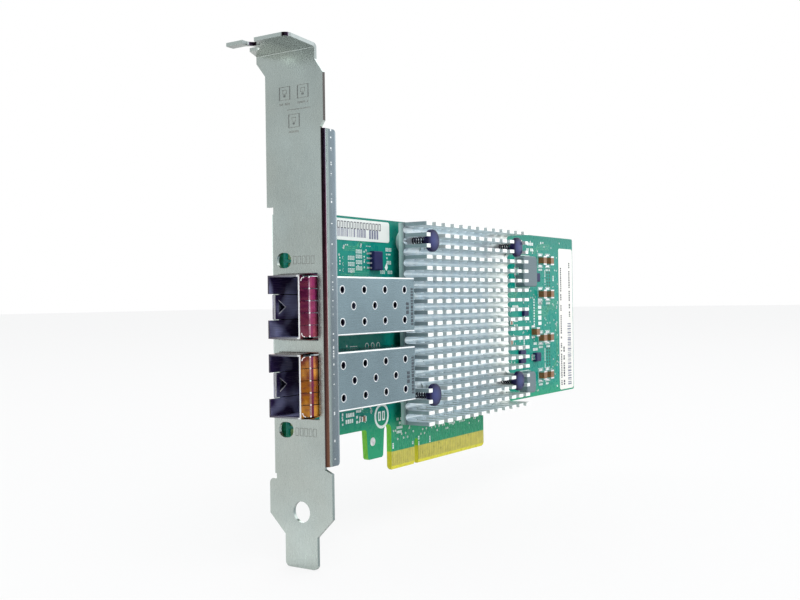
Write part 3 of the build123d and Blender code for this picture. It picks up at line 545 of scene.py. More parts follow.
looks = [
    bracket_steel(), board_mask(), cage_metal(), collar_metal(), sink_metal(), label_film(),
    pin_plastic(), lamp_plastic(),
    plated("screw_steel", (0.62, 0.63, 0.64), 0.22),
    plated("contact_gold", (0.60, 0.55, 0.12), 0.34, 0.8),
    plated("spring_wire", (0.022, 0.02, 0.035), 0.45),
    plated("lead_tin", (0.80, 0.82, 0.82), 0.3),
    plated("lid_nickel", (0.50, 0.50, 0.52), 0.35),
    # painted highlight colour for the pressed vent rims
    plated("vent_rim_highlight", (0.88, 0.92, 0.96), 0.3),
    plated("hole_lining", (0.95, 0.96, 0.95), 0.4),
    plated("solder", (0.78, 0.80, 0.80), 0.25, 1.6, 0.01),
    moulded("chip_black", (0.012, 0.014, 0.075), 0.4, gloss=0.22),
    moulded("socket_black", (0.010, 0.008, 0.025)),
    moulded("substrate_green", (0.03, 0.14, 0.07), 0.4),
    moulded("pad_grey", (0.25, 0.26, 0.28), 0.7),
    moulded("inductor_grey", (0.13, 0.18, 0.20), 0.5, 4.0, 0.02, 0.25),
    moulded("capacitor_brown", (0.22, 0.10, 0.035), 0.35, 1.8, 0.01),
    moulded("copper_under_mask", (0.018, 0.29, 0.17), 0.26, 1.0, 0.003),
    moulded("silk_white", (0.74, 0.86, 0.80), 0.6, 5.0, 0.004),
    # painted highlight colour for thin glint pieces
    moulded("painted_highlight", (0.90, 0.92, 0.92), 0.3),
    # painted shade: the dark colour given to the vias' open bores
    moulded("via_bore", (0.02, 0.05, 0.03), 0.6),
    moulded("label_ink", (0.035, 0.035, 0.06), 0.55),
    moulded("bar_ink", (0.16, 0.17, 0.25), 0.55),
    moulded("roof_ink", (0.04, 0.055, 0.07), 0.6),
    moulded("etched_mark", (0.20, 0.22, 0.21), 0.6),
    moulded("pale_etched_mark", (0.31, 0.335, 0.31), 0.6),
]
materials = {look.name: look.material for look in looks}

slots = {entry["node"]: entry["material_slot"] for entry in frame["record"]["subparts"]}
for node, thing in nodes.items():
    thing.data.materials.clear()
    thing.data.materials.append(materials[slots[node]])


# Points on the card

def point(x, y, z):
    return Vector((x, y, z)) * MM


def on_front(along, up, out):
    """A point on the component face, from the board's near and lower edges."""
    return point(board_near + along, component_face - out, board_bottom + up)


def on_back(along, up, out):
    """The same on the solder face."""
    return point(board_near + along, solder_face + out, board_bottom + up)


def on_bracket(across, up, out):
    """A point on the bracket's outer face, from the foot's edge and tip."""
    return point(bracket_face - out, foot_edge - across, foot_tip + up)


def on_roof(from_mouth, up, out):
    """A point on the cages' roofs, from their mouths and from the foot's tip."""
    return point(cage_mouth + from_mouth, cage_roof - out, foot_tip + up)


def on_finger(from_mouth, z, out):
    """A point on the first slope of the collars' fingers."""
    return point(cage_mouth + from_mouth, ridge_level + (ridge_place - from_mouth) * ridge_slope - out, z)


def on_cage_floor(from_mouth, z, out):
    """A point on the inner face of the cages' floors."""
    return point(cage_mouth + from_mouth, cage_floor - out, z)


# Mesh pieces; a mesh is a list of points and a list of faces

def piece(name, mesh, slot, look=None, smooth=False):
    """A piece that rides on the card, with the look of its slot or another one."""
    data = bpy.data.meshes.new(name)
    data.from_pydata(mesh[0], [], mesh[1])
    shells = bmesh.new()
    shells.from_mesh(data)
    bmesh.ops.recalc_face_normals(shells, faces=shells.faces)
    shells.to_mesh(data)
    shells.free()
    data.materials.append(materials[look or slot])
    if smooth:
        data.shade_smooth()
        data.set_sharp_from_angle(angle=math.radians(40))
    thing = bpy.data.objects.new(name, data)
    bpy.context.scene.collection.objects.link(thing)
    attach(thing, "root")
    return thing


def loft(mesh, rings):
    """A closed piece through rings with as many points each."""
    verts, faces = mesh
    first = len(verts)
    count = len(rings[0])
    last = first + count * (len(rings) - 1)
    for points in rings:
        verts += points
    for low in range(first, last, count):
        for index in range(count):
            after = (index + 1) % count
            faces.append([low + index, low + after, low + count + after, low + count + index])
    faces += [list(range(low, low + count)) for low in (first, last)]


def turned(mesh, profile, x, z, sides=24, start=0.0, end=360.0):
    """A closed piece turned about an axis along Y; the profile's points are radius and Y."""
    verts, faces = mesh
    whole = end - start == 360.0
    count = sides if whole else sides + 1
    first = len(verts)
    rows = len(profile)
    for index in range(count):
        turn = math.radians(start + (end - start) * index / sides)
        verts += [point(x + r * math.cos(turn), y, z + r * math.sin(turn)) for r, y in profile]
    for index in range(sides):
        here = first + index * rows
        there = first + (index + 1) % count * rows
        faces += [[here + row, here + row + 1, there + row + 1, there + row] for row in range(rows - 1)]
    faces += [[first + index * rows + row for index in range(count)] for row in (0, rows - 1)]
    if not whole:
        faces += [[first + index * rows + row for row in range(rows)] for index in (0, count - 1)]


def plates(name, outlines, place, slot, look=None, thickness=print_thickness, base=0.0):
    """One mesh of straight-sided plates on a face of the card."""
    mesh = ([], [])
    for outline in outlines:
        levels = (base, base + thickness)
        loft(mesh, [[place(along, up, level) for along, up in outline] for level in levels])
    return piece(name, mesh, slot, look)


def rectangle(low_a, high_a, low_b, high_b):
    return [(low_a, low_b), (high_a, low_b), (high_a, high_b), (low_a, high_b)]


def disc(centre, radius, sides=12):
    turns = [2 * math.pi * index / sides for index in range(sides)]
    return [(centre[0] + radius * math.cos(turn), centre[1] + radius * math.sin(turn)) for turn in turns]


def ring(centre, inner, outer, sides=24, start=0.0, end=360.0):
    """Quads round a ring, or round part of one."""
    turns = [math.radians(start + (end - start) * index / sides) for index in range(sides + 1)]
    quads = []
    for first, second in zip(turns, turns[1:]):
        corners = ((inner, first), (outer, first), (outer, second), (inner, second))
        quads.append([(centre[0] + r * math.cos(t), centre[1] + r * math.sin(t)) for r, t in corners])
    return quads


def box_frame(low_a, high_a, low_b, high_b, width=0.15):
    """Four thin bars round a rectangle."""
    return [
        rectangle(low_a, high_a, low_b, low_b + width),
        rectangle(low_a, high_a, high_b - width, high_b),
        rectangle(low_a, low_a + width, low_b + width, high_b - width),
        rectangle(high_a - width, high_a, low_b + width, high_b - width),
    ]


def round_plate(corner, size, turn):
    """A rectangle with round corners."""
    outline = []
    for right, upper, start in ((1, 1, 0), (0, 1, 90), (0, 0, 180), (1, 0, 270)):
        middle_a = corner[0] + (size[0] - turn if right else turn)
        middle_b = corner[1] + (size[1] - turn if upper else turn)
        for step in range(5):
            angle = math.radians(start + 22.5 * step)
            outline.append((middle_a + turn * math.cos(angle), middle_b + turn * math.sin(angle)))
    return outline


def steps(low, high, pitch):
    """Values from low to high, one pitch apart."""
    return [low + index * pitch for index in range(int((high - low) / pitch) + 1)]


def line(start, end, width):
    """A straight bar between two points."""
    first = Vector(start)
    second = Vector(end)
    run = second - first
    side = Vector((-run.y, run.x)).normalized() * (width / 2)
    return [tuple(first - side), tuple(second - side), tuple(second + side), tuple(first + side)]


def track(points, width=track_width):
    """Bars along a path, with round corners."""
    bars = [line(start, end, width) for start, end in zip(points, points[1:])]
    return bars + [disc(place, width / 2, sides=8) for place in points[1:-1]]


def strip(start, place, width, tall, upright):
    """One block of a row, at its place along the row."""
    if upright:
        return rectangle(start[0], start[0] + tall, start[1] + place, start[1] + place + width)
    return rectangle(start[0] + place, start[0] + place + width, start[1], start[1] + tall)


def block_row(along, up, size, length, seed, upright=False):
    """A row of plain blocks of uneven width in place of a line of print."""
    chance = random.Random(seed)
    blocks = []
    place = 0.0
    while place < length - 0.3 * size:
        width = size * chance.choice((0.45, 0.6, 0.75))
        if chance.random() > 0.12:
            blocks.append(strip((along, up), place, width, size, upright))
        place += width + 0.22 * size
    return blocks


def bar_row(along, up, tall, length, seed, upright=False):
    """A row of bars of uneven width, as a plain bar pattern."""
    chance = random.Random(seed)
    bars = []
    place = 0.0
    while place < length:
        width = chance.choice((0.15, 0.2, 0.35, 0.5))
        bars.append(strip((along, up), place, width, tall, upright))
        place += width + chance.choice((0.2, 0.3, 0.45))
    return bars


def glyphs(along, up, wide, tall, count, stroke, gap):
    """A row of plain open boxes in place of large print."""
    shapes = []
    for start in (along + index * (wide + gap) for index in range(count)):
        shapes += box_frame(start, start + wide, up, up + tall, stroke)
    return shapes


# Print on the board

# Rows of open boxes: along, up, width, height, count, stroke and gap
front_glyphs = [(25.7, up, 0.5, 1.05, 4, 0.15, 0.25) for up in (44.6, 43.0, 41.4)]
front_glyphs += [
    (29.2, 46.4, 0.5, 1.0, 4, 0.15, 0.22), (29.2, 45.1, 0.5, 0.95, 4, 0.15, 0.22),
    (29.2, 43.6, 0.5, 1.0, 4, 0.15, 0.22), (29.2, 42.0, 0.5, 1.0, 4, 0.15, 0.22),
    (43.0, 47.3, 0.5, 0.95, 4, 0.17, 0.25), (43.5, 43.8, 0.5, 0.95, 3, 0.17, 0.25),
    (40.3, 41.2, 0.5, 0.9, 3, 0.14, 0.3), (43.9, 41.2, 0.5, 0.9, 3, 0.14, 0.3),
    (38.3, 1.7, 1.3, 2.5, 2, 0.42, 0.6),
]

# Rows of blocks: along, up, size, length, seed, and whether the row runs upwards
front_blocks = [
    (43.2, 46.3, 0.4, 2.0, 4), (24.6, 48.3, 0.3, 1.2, 8), (33.9, 48.3, 0.22, 2.0, 9),
    (23.9, 4.1, 1.05, 3.2, 11), (23.7, 2.5, 1.05, 3.2, 12), (28.3, 4.9, 0.7, 2.6, 13),
    (47.2, 0.9, 0.75, 3.0, 209), (47.2, -0.3, 0.75, 3.0, 197), (47.2, -1.5, 0.75, 3.0, 185),
    (47.2, -2.7, 0.75, 3.0, 173), (55.0, -7.0, 0.6, 1.4, 165, True), (58.2, -7.3, 0.6, 2.6, 174, True),
    (64.2, -7.1, 0.6, 1.8, 192, True), (45.0, -6.6, 0.6, 1.4, 135, True), (77.5, -3.6, 0.6, 2.0, 232, True),
    (137.6, 24.6, 2.6, 8.2, 31, True), (129.0, 50.2, 1.0, 5.4, 32), (129.4, 52.2, 1.0, 4.6, 33),
    (126.0, 16.6, 0.8, 4.2, 34, True), (133.2, 15.8, 0.9, 3.4, 35), (133.0, 17.8, 0.9, 3.0, 36),
    (119.2, 26.2, 0.9, 3.4, 37), (119.2, 24.4, 0.9, 3.4, 38), (118.0, 30.8, 0.9, 4.2, 39),
    (149.9, 39.2, 0.9, 4.0, 42, True), (143.2, 38.6, 0.55, 44.2 - 38.6, 143, True),
    (142.4, 9.3, 0.55, 16.2 - 9.3, 142, True),
]

# Dots: along, up and radius
front_dots = [(32.9, up, 0.24) for up in (46.9, 45.6, 44.2, 42.8)]
front_dots += [(22.4, up, 0.3) for up in (4.9, 3.7, 2.5)]
front_dots += [(43.6, 45.5, 0.28), (24.6, 22.4, 0.3), (140.4, 53.4, 0.45), (152.6, 2.2, 0.4)]

front_arrows = [[(21.8, up + 0.3), (22.5, up + 0.3), (22.15, up + 0.75)] for up in (44.6, 43.0, 41.4)]
front_arrows += [
    [(42.4, 42.9), (43.2, 42.0), (44.0, 42.9), (43.4, 44.2)],
    [(52.9, -2.2), (53.6, -1.4), (54.2, -0.9), (53.6, -1.8)],
]

capacitor_places = (
    (139.8, 47.2), (145.8, 47.2), (139.6, 35.4), (145.6, 35.4),
    (139.4, 20.1), (145.0, 20.1), (139.0, 7.0), (144.6, 7.0),
)


def front_print():
    """White print on the component face: outlines, rows of blocks, dots, arrows and rings."""
    shapes = front_arrows + [disc((along, up), radius) for along, up, radius in front_dots]
    for row in front_glyphs:
        shapes += glyphs(*row)
    for row in front_blocks:
        shapes += block_row(*row)
    for up in (44.6, 43.0, 41.4):
        shapes += ring((23.7, up + 0.5), 0.35, 0.43, sides=6, start=90, end=270)
    shapes += ring((40.0, 2.95), 2.65, 3.4, sides=40)
    for along in (33.6, 36.2, 38.8):
        shapes += ring((along, 22.05), 0.6, 0.85, sides=14)
    shapes.append(rectangle(26.0, 29.2, 22.1, 22.3))
    shapes += [rectangle(28.3, 29.0, up, up + 0.7) for up in (3.4, 2.1)]
    shapes += [rectangle(134.0, 134.8, up, up + 0.55) for up in steps(24.7, 33.4, 0.95)]
    for along, up in capacitor_places:
        shapes += box_frame(along - 2.0, along + 2.0, up - 2.5, up + 2.5)
        shapes += block_row(along - 1.5, up - 3.6, 0.7, 3.0, int(along + up))
    shapes += box_frame(120.2, 131.2, 37.5, 48.7, 0.2)
    shapes += box_frame(121.9, 129.7, 1.7, 9.5, 0.2)
    return shapes


def back_print():
    """Plain print on the solder face."""
    chance = random.Random(21)
    shapes = box_frame(62.6, 91.6, 11.7, 42.6, 0.2) + block_row(148, 47.5, 1.6, 12.0, 55)
    for along, up in (
        (20, 46), (34, 33), (46, 8), (88, 48), (104, 30), (118, 12), (132, 44), (144, 22), (60, 20),
    ):
        shapes += box_frame(along, along + 4.6, up, up + 2.6)
        shapes += block_row(along + 0.2, up + 3.1, 0.8, 3.6, along + up)
        shapes.append(disc((along - 0.9, up + chance.uniform(0.6, 2.0)), 0.25))
    return shapes


# Copper on the board

# Bundles of parallel tracks: start, step, count and the corners they share
front_bundles = (
    ((21.5, 38.6), 0.55, 5, [(26.0, 38.6), (27.6, 40.2), (34.6, 40.2)]),
    ((36.6, 50.3), -0.5, 3, [(31.6, 50.3), (29.4, 48.1), (24.0, 48.1)]),
    ((112.0, 33.2), 0.6, 6, [(119.0, 33.2), (122.0, 36.2), (122.0, 36.6)]),
    ((112.0, 11.4), 0.6, 5, [(121.0, 11.4), (123.0, 13.4)]),
    ((131.6, 49.6), 0.55, 4, [(136.0, 49.6), (137.6, 51.2), (147.0, 51.2)]),
    ((133.6, 27.6), 0.55, 7, [(144.0, 27.6), (146.2, 29.8), (152.8, 29.8)]),
    ((149.6, 8.0), 0.6, 4, [(152.6, 11.0), (152.6, 24.0)]),
    ((22.0, 6.2), 0.5, 2, [(30.0, 6.2), (31.6, 4.6), (35.0, 4.6)]),
)
back_bundles = (
    ((9.5, 22.0), 0.7, 8, [(30.0, 22.0), (36.0, 28.0), (62.0, 28.0)]),
    ((9.5, 41.0), 0.7, 8, [(32.0, 41.0), (37.0, 36.0), (62.0, 36.0)]),
    ((48.0, 3.0), 0.7, 9, [(56.0, 3.0), (63.0, 10.0), (63.0, 14.0)]),
    ((92.0, 16.0), 0.7, 9, [(108.0, 16.0), (114.0, 22.0), (140.0, 22.0)]),
    ((92.0, 34.0), 0.7, 9, [(104.0, 34.0), (110.0, 40.0), (150.0, 40.0)]),
    ((66.0, 45.0), 0.6, 7, [(60.0, 51.0), (34.0, 51.0)]),
    ((100.0, 4.0), 0.7, 6, [(120.0, 4.0), (124.0, 8.0), (158.0, 8.0)]),
)

# Boxes that scattered vias keep clear of: along from and to, up from and to
front_taken = (
    (0, 43.5, 7.2, 40.4), (46, 109, -1, 56), (19, 45.5, 49, 56), (34, 45.6, 40.5, 48.5),
    (154.6, 167.5, 0, 52.5), (119.6, 131.8, 37, 49), (121.4, 130.2, 1.2, 10), (36.8, 43.8, -1, 6.5),
    (137, 149.5, 31, 50), (136.5, 148, 3, 24), (132, 137.6, 38.6, 44), (131.5, 138, 11, 16),
    (120.8, 127, 11, 18), (124, 129, 27, 31), (114.8, 117.4, 18, 28), (131.5, 136, 20, 25),
    (5, 13.5, -1, 8), (5, 13.5, 46, 56), (133.5, 141, 24, 34), (144, 147.5, 50.5, 55),
    (144, 147.5, 8, 17), (145, 147.5, 38, 45),
)
back_taken = ((60, 94, 9, 44), (0, 15, -1, 56))


def contact_columns():
    """Centres of the edge contacts, from the board's near edge."""
    first = tongue_start + first_contact_inset - board_near
    near = [first + index for index in range(11)]
    return near + [near[-1] + key_contact_step + index for index in range(38)]


def tracks(seed, bundles):
    """Short tracks from the contacts and bundles of long ones, with the vias where they end."""
    chance = random.Random(seed)
    shapes = []
    ends = []
    for column in contact_columns():
        top = chance.choice((-4.2, -3.0, -1.8, 0.4))
        shapes += track([(column, contact_top - board_bottom + 0.1), (column, top)])
        ends.append((column, top))
    for start, step, count, corners in bundles:
        for shift in (index * step for index in range(count)):
            points = [(along + shift * 0.42, up + shift) for along, up in [start] + corners]
            shapes += track(points)
            if chance.random() < 0.6:
                ends.append(points[-1])
    return shapes, ends


def clear_of(place, boxes):
    along, up = place
    return not any(box[0] < along < box[1] and box[2] < up < box[3] for box in boxes)


def scattered(count, seed, boxes):
    """Via places over the board, clear of the boxes that parts and labels take."""
    chance = random.Random(seed)
    places = []
    while len(places) < count:
        place = (chance.uniform(2, 166), chance.uniform(1.5, 54))
        if clear_of(place, boxes):
            places.append(place)
    return places


def copper_and_print():
    """Tracks, plated vias whose bores are dark discs of painted shade, and print on both faces."""
    faces = (
        ("front", on_front, (5, front_bundles), front_taken[1:], (150, 3, front_taken)),
        ("back", on_back, (9, back_bundles), (), (240, 4, back_taken)),
    )
    for name, place, routes, hidden, spread in faces:
        shapes, ends = tracks(*routes)
        plates(name + "_tracks", shapes, place, "board_laminate", "copper_under_mask", track_thickness)
        centres = [end for end in ends if clear_of(end, hidden)] + scattered(*spread)
        rings = [quad for centre in centres for quad in ring(centre, via_bore, via_radius, sides=8)]
        plates(name + "_vias_rings", rings, place, "lead_tin", thickness=0.035)
        # painted shade: dark discs for the open bores
        bores = [disc(centre, via_bore, sides=8) for centre in centres]
        plates(name + "_vias_bores", bores, place, "board_laminate", "via_bore")
    plates("front_print", front_print(), on_front, "label_white", "silk_white", base=track_thickness)
    plates("back_print", back_print(), on_back, "label_white", "silk_white", base=track_thickness)
    # painted shade: columns of larger dark discs for via bores
    dark = []
    columns = ((145.4, 38.4, 44.6), (147.3, 38.4, 44.6), (144.6, 9.1, 16.6), (146.6, 9.1, 16.6))
    for along, low, high in columns:
        dark += [disc((along, up), 0.36, sides=8) for up in steps(low, high, 1.15)]
    plates("dark_vias", dark, on_front, "board_laminate", "via_bore", 0.036)


def labels():
    """The near label's film, and dark print on both labels: rows of plain blocks and bars."""
    outline = round_plate(near_label_corner, near_label_size, near_label_turn)
    film = plates("near_label_film", [outline], on_front, "label_white", thickness=label_face)
    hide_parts("near_label")
    along, up = near_label_corner
    shapes = glyphs(along + 1.6, up + 3.0, 1.0, 1.9, 14, 0.22, 0.42)
    bars = bar_row(along + 1.6, up + 0.9, 2.1, 12.4, 62)
    for start in steps(along + 15.6, along + 19.8, 1.15):
        bars.append(rectangle(start, start + 0.8, up + 0.7, up + 3.0))
    along, up = far_label_corner
    shapes += block_row(along + 1.2, up + 1.6, 0.9, 43.0, 63, True)
    shapes += block_row(along + 3.3, up + 1.6, 1.1, 13.5, 64, True)
    shapes += block_row(along + 8.6, up + 26.4, 1.0, 20.5, 66, True)
    bars += bar_row(along + 7.2, up + 1.4, 3.0, 22.6, 65, True)
    plates("label_bars", bars, on_front, "label_white", "bar_ink", base=label_face)
    plates("label_print", shapes, on_front, "label_white", "label_ink", base=label_face)


# Details of the bracket and the ports

def bracket_marks():
    """Etched plain squares above the ports, and rows of open boxes beside the sight holes."""
    strong = []
    faint = [rectangle(6.9, 13.7, 106.2, 106.4)]
    for across, up in ((4.4, 108.7), (9.8, 108.7), (7.1, 102.1)):
        strong += [rectangle(start, start + 0.28, up, up + 3.15) for start in (across, across + 3.1)]
        strong.append(rectangle(across + 1.3, across + 1.95, up + 0.7, up + 1.2))
        faint += [rectangle(across, across + 3.38, level, level + 0.14) for level in (up, up + 3.0)]
        faint += box_frame(across + 1.0, across + 2.3, up + 1.4, up + 2.4, 0.14)
        faint += block_row(across + 0.1, up - 1.2, 0.5, 3.2, int(across * 10))
    for up in (70.4, 30.6):
        faint += glyphs(8.0, up, 1.0, 1.9, 5, 0.14, 0.3)
    plates("faint_marks", faint, on_bracket, "bracket_steel", "pale_etched_mark", 0.01)
    plates("bracket_marks", strong, on_bracket, "bracket_steel", "etched_mark", 0.012)


def port_details():
    """Painted highlights as thin bright pieces: on the fingers' corners and gaps, the latch's front lip and
    the edges of its window.
    """
    corners = []
    lip_highlights = []
    gap_glints = ([], [])
    radius = 0.23
    bulge = 0.7 * radius
    arc = ((0.01, -radius), (bulge, -bulge), (radius, 0.0), (bulge, bulge), (0.01, radius))
    glint_dot = [(out, ridge_level + rise) for out, rise in arc]
    for middle in port_middles:
        for side in (-1, 1):
            path = [(0.3, 5.9), (0.38, 6.35), (0.6, 6.65), (0.95, 6.8)]
            corners += track([(along, middle + side * across) for along, across in path], 0.14)
            lip_highlights.append(line((3.4, middle + side * 1.58), (5.9, middle), 0.16))
        lip_highlights.append(rectangle(1.45, 2.1, middle - 2.8, middle + 2.8))
        for shift in (-6.75, -4.155, -1.385, 1.385, 4.155, 6.75):
            turned(gap_glints, glint_dot, cage_mouth + ridge_place + 0.1, middle + shift, sides=10)
    plates("finger_corners", corners, on_finger, "collar_spring", "painted_highlight", 0.05, -0.02)
    plates("latch_edges", lip_highlights, on_cage_floor, "cage_nickel", "painted_highlight", 0.05)
    piece("finger_gap_glints", gap_glints, "collar_spring", "painted_highlight", smooth=True)


def roof_details():
    """Pressed rims round the vents, in a near-white metal as a painted highlight, and rows of plain bars at
    the roofs' ends.
    """
    rims = []
    bars = []
    for middle in port_heights:
        for shift, start, count in ((3.93, 16.5, 4), (0, 21.05, 3), (-3.93, 16.5, 4)):
            for index in range(count):
                rims += ring((start + 9.1 * index, middle + shift), 0.86, 1.08)
        for start, wide, low, high, seed in ((44.5, 1.3, -2.5, 0.8, 81), (46.8, 1.1, -5.4, 4.3, 82)):
            bars += block_row(start, middle + low, wide, high - low, seed, True)
    plates("vent_rims", rims, on_roof, "cage_nickel", "vent_rim_highlight", 0.03)
    plates("roof_bars", bars, on_roof, "cage_nickel", "roof_ink", 0.012)


# The heat sink, its push pins and springs

def add_bar(mesh, profile, start, end):
    """A closed bar along X; the profile's points are Z and rise above the sink's deck."""
    loft(mesh, [[point(x, sink_deck - rise, z) for z, rise in profile] for x in (start, end)])


def round_foot(edge, side, low, high, flat):
    """One side of a row's foot between two angles, as Z and rise; the sink's outer sides are flat."""
    radius = (fin_row_pitch - fin_thickness) / 2
    points = []
    for turn in (math.radians(angle) for angle in steps(low, high, 15)):
        points.append((edge + side * radius * (1 - math.sin(turn)), radius * (1 - math.cos(turn))))
    return [(edge, rise) for z, rise in (points[0], points[-1])] if flat else points


def clear_spans(start, end, low, high):
    """What is left of a span along X beside the pockets; low and high are the row's sides."""
    spans = [(start, end)]
    for x, z in pin_axes:
        across = max(low - z, z - high, 0.0)
        if across < pocket_radius:
            half = math.sqrt(pocket_radius ** 2 - across ** 2)
            parts = [(first, min(last, x - half)) for first, last in spans]
            parts += [(max(first, x + half), last) for first, last in spans]
            spans = [(first, last) for first, last in parts if last > first]
    return spans


def heat_sink():
    """The sink with its round-bottomed channels: base, feet of the rows, fins and bosses."""
    mesh = ([], [])
    under = -base_thickness
    corners = ((sink_low.z, 0.0), (sink_high.z, 0.0), (sink_high.z, under), (sink_low.z, under))
    add_bar(mesh, corners, sink_low.x, sink_high.x)
    for row in range(fin_rows):
        low = sink_low.z + row * fin_row_pitch
        high = low + fin_thickness
        left, right = (row == 0, row == fin_rows - 1)
        near = round_foot(low, -1, 0, 60, left)
        far = round_foot(high, 1, 0, 60, right)
        foot = [(near[0][0], -0.1)] + near + far[::-1] + [(far[0][0], -0.1)]
        for start, end in clear_spans(sink_low.x, sink_high.x, low, high):
            add_bar(mesh, foot, start, end)
        near = round_foot(low, -1, 45, 90, left)
        far = round_foot(high, 1, 45, 90, right)
        fin = near + [(low, fin_height), (high, fin_height)] + far[::-1]
        for start in (sink_low.x + column * fin_column_pitch for column in range(fin_columns)):
            for first, last in clear_spans(start, start + fin_length, low, high):
                add_bar(mesh, fin, first, last)
    seat = sink_deck + base_thickness / 2
    for x, z in pin_axes:
        turned(mesh, [(0.8, sink_high.y), (3.1, sink_high.y), (3.1, seat), (0.8, seat)], x, z)
    thing = piece("sink_body", mesh, "sink_aluminium", smooth=True)
    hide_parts("heat_sink")


def push_pins():
    """Moulded pins: a domed head, a collar, a shank, and a barb in two halves."""
    mesh = ([], [])
    top = pins_low.y
    back = solder_face + 0.05
    split = back - 1.6
    head = top + pin_head_depth
    collar = top + pin_collar_depth
    body = [
        (0.01, top), (pin_head_radius - 0.5, top), (pin_head_radius - 0.12, top + 0.12),
        (pin_head_radius, top + 0.32), (pin_head_radius, head - 0.1), (pin_head_radius - 0.1, head),
        (1.25, head), (1.25, collar - 0.1), (1.15, collar), (0.3, collar), (0.3, sink_deck - 0.3),
        (0.6, sink_deck), (0.6, split), (0.01, split),
    ]
    barb = [
        (0.01, split), (0.4, split), (0.4, back), (0.9, back), (0.88, back + 0.4),
        (0.35, pins_high.y - 0.15), (0.2, pins_high.y), (0.01, pins_high.y),
    ]
    for x, z in pin_axes:
        turned(mesh, body, x, z, sides=36)
        turned(mesh, barb, x + 0.2, z, sides=14, start=-90.0, end=90.0)
        turned(mesh, barb, x - 0.2, z, sides=14, start=90.0, end=270.0)
    thing = piece("pin_bodies", mesh, "pin_plastic", smooth=True)
    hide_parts("push_pins")


def pin_springs():
    """Coil springs with closed end turns, from the sink's deck to the pins' collars."""
    mesh = ([], [])
    low = sink_deck - wire_radius
    travel = pins_low.y + pin_collar_depth + wire_radius - low
    count = int(coil_turns * 28)
    for x, z in pin_axes:
        rings = []
        for share in (index / count for index in range(count + 1)):
            turn = 2 * math.pi * coil_turns * share
            eased = min(max((share - 0.05) / 0.9, 0.0), 1.0)
            out = Vector((math.cos(turn), 0, math.sin(turn)))
            centre = Vector((x, low + travel * eased, z)) + out * coil_radius
            section = disc((0, 0), wire_radius, sides=8)
            rings.append([(centre + out * a + Vector((0, b, 0))) * MM for a, b in section])
        loft(mesh, rings)
    thing = piece("pin_coils", mesh, "spring_wire", smooth=True)
    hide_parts("push_pin_springs")


# Solder

def pad_pair(along, up, shift, reach):
    """Two pads, one to each side; reach is how far each goes left, right, down and up."""
    left, right, down, rise = reach
    pads = []
    for side in (-1, 1):
        a = along + side * shift[0]
        b = up + side * shift[1]
        pads.append(rectangle(a - left, a + right, b - down, b + rise))
    return pads


def solder_pads():
    """Solder pads round the leads and the plated ends."""
    pads = []
    for along, up in capacitor_places + ((133.6, 22.4),):
        pads += pad_pair(along, up, (0, 1.75), (1.35, 1.35, 0.45, 0.45))
    for along, up, half in ((125.7, 43.1, 5.6), (125.8, 5.6, 3.9)):
        pads += pad_pair(along, up, (half, 0), (0.5, 0.5, 1.6, 1.6))
    for along, up in ((116.0, 26.0), (116.0, 19.4), (31.0, 3.1), (13.4, 50.0), (13.4, 2.6)):
        pads += pad_pair(along, up, (1.0, 0), (0.4, 0.4, 0.75, 0.75))
    for along, up in ((134.9, 41.2), (134.9, 13.6)):
        pads += pad_pair(along, up, (2.3, 0), (0.6, 0.5, 1.1, 1.1))
    for place in (-1.5, -0.5, 0.5, 1.5):
        pads += pad_pair(37.6, 44.6 + place * 1.27, (2.9, 0), (0.6, 0.6, 0.3, 0.3))
        pads += pad_pair(123.9 + place * 0.95, 14.3, (0, 2.55), (0.25, 0.25, 0.3, 0.45))
    plates("solder_pads", pads, on_front, "lead_tin", "solder", 0.045)


def pin_joints():
    """Small cones of solder where the cages' pins come through."""
    mesh = ([], [])
    cone = ((0.85, 0.0), (0.6, 0.3), (0.4, 0.75))
    for middle in port_middles:
        for x in (cage_mouth + 13.0, cage_mouth + 41.0):
            for z in (middle - 7.0, middle + 7.0):
                loft(mesh, [
                    [point(a, solder_face + out, b) for a, b in disc((x, z), radius)] for radius, out in cone
                ])
    piece("pin_joints", mesh, "lead_tin", "solder", smooth=True)


def hole_lining():
    """The plated wall of the hook's hole."""
    wall = ring(hook_hole, hook_hole_radius - 0.06, hook_hole_radius, sides=32)
    plates("hook_lining", wall, on_front, "lead_tin", "hole_lining", 1.59, -1.58)


copper_and_print()
labels()
bracket_marks()
solder_pads()
pin_joints()
roof_details()
heat_sink()
push_pins()
pin_springs()
hole_lining()
port_details()


# Floor, light and camera

def floor():
    """A wide pale floor under the bracket's tip."""
    reach = 6.0
    level = foot_tip * MM
    look = Look("floor_pale", (0.6, 0.6, 0.6), roughness=0.9)
    white = look.add("Emission")
    path = look.add("LightPath")
    choose = look.add("MixShader")
    look.join(look.math("MULTIPLY", path.outputs["Is Camera Ray"], 0.8), choose.inputs["Fac"])
    look.join(look.shader.outputs["BSDF"], choose.inputs[1])
    look.join(white.outputs["Emission"], choose.inputs[2])
    look.join(choose.outputs["Shader"], look.tree.nodes["Material Output"].inputs["Surface"])
    data = bpy.data.meshes.new("floor")
    data.from_pydata([(x, y, level) for x, y in rectangle(-reach, reach, -reach, reach)], [], [[0, 1, 2, 3]])
    data.materials.append(look.material)
    thing = bpy.data.objects.new("floor", data)
    bpy.context.scene.collection.objects.link(thing)


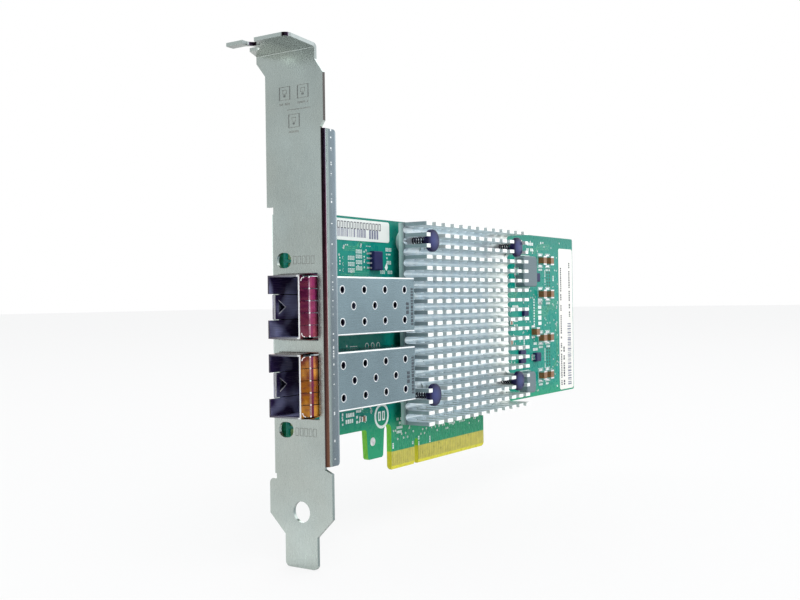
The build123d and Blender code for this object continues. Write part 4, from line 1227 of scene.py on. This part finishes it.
def sky():
    """White behind the object; it lights darkly from the camera's side and brightly from the far one."""
    world = bpy.data.worlds.new("studio")
    world.use_nodes = True
    world.node_tree.nodes.clear()
    studio = Tree(world.node_tree)
    along = studio.add("VectorMath", operation="DOT_PRODUCT")
    along.inputs[1].default_value = away_from_camera
    studio.join(studio.add("TexCoord").outputs["Generated"], along.inputs[0])
    shades = studio.ramp(
        studio.remap(along.outputs["Value"], -1.0, 1.0), (0.0, (0.025, 0.010, 0.018)),
        (0.1, (0.043, 0.022, 0.036)), (0.22, (0.217, 0.224, 0.231)), (0.33, (0.303, 0.318, 0.325)),
        (0.57, (0.40, 0.42, 0.435)), (0.68, (0.85, 0.87, 0.88)), (0.84, (0.95, 0.97, 1.0)),
        (1.0, (1.0, 1.0, 1.0)),
    )
    light = studio.add("Background")
    light.inputs["Strength"].default_value = 1.8
    studio.join(shades, light.inputs["Color"])
    seen = studio.add("Background")
    seen.inputs["Color"].default_value = (1, 1, 1, 1)
    choose = studio.add("MixShader")
    studio.join(studio.add("LightPath").outputs["Is Camera Ray"], choose.inputs["Fac"])
    studio.join(light.outputs["Background"], choose.inputs[1])
    studio.join(seen.outputs["Background"], choose.inputs[2])
    studio.join(choose.outputs["Shader"], studio.add("OutputWorld").inputs["Surface"])
    bpy.context.scene.world = world


def lamp(name, place, aim, size, power):
    """A square soft light, aimed at a point; places and size in metres."""
    data = bpy.data.lights.new(name, "AREA")
    data.shape = "SQUARE"
    data.size = size
    data.energy = power
    thing = bpy.data.objects.new(name, data)
    thing.location = place
    thing.rotation_euler = (Vector(aim) - Vector(place)).to_track_quat("-Z", "Y").to_euler()
    bpy.context.scene.collection.objects.link(thing)


def camera():
    """The photograph's camera."""
    heading = math.radians(camera_heading)
    pitch = math.radians(camera_pitch)
    roll = math.radians(camera_roll)
    run = math.cos(pitch)
    ahead = Vector((run * math.cos(heading), run * math.sin(heading), math.sin(pitch)))
    level = ahead.cross(Vector((0, 0, 1))).normalized()
    right = level * math.cos(roll) + level.cross(ahead) * math.sin(roll)
    top = right.cross(ahead)
    data = bpy.data.cameras.new("camera")
    data.sensor_width = 36
    data.lens = camera_lens
    data.clip_start = 0.01
    data.clip_end = 50
    thing = bpy.data.objects.new("camera", data)
    turn = Matrix((right, top, -ahead)).transposed().to_4x4()
    thing.matrix_world = Matrix.Translation(Vector(camera_place) * MM) @ turn
    bpy.context.scene.collection.objects.link(thing)
    bpy.context.scene.camera = thing


floor()
sky()
lamp("key", (-0.35, -0.7, 1.15), (0.0, 0, 0.03), 1.6, 19.5)
lamp("fill", (0.05, -1.1, 0.12), (0.03, 0, 0.04), 0.7, 4.0)
camera()
bpy.context.scene.view_settings.view_transform = "Standard"
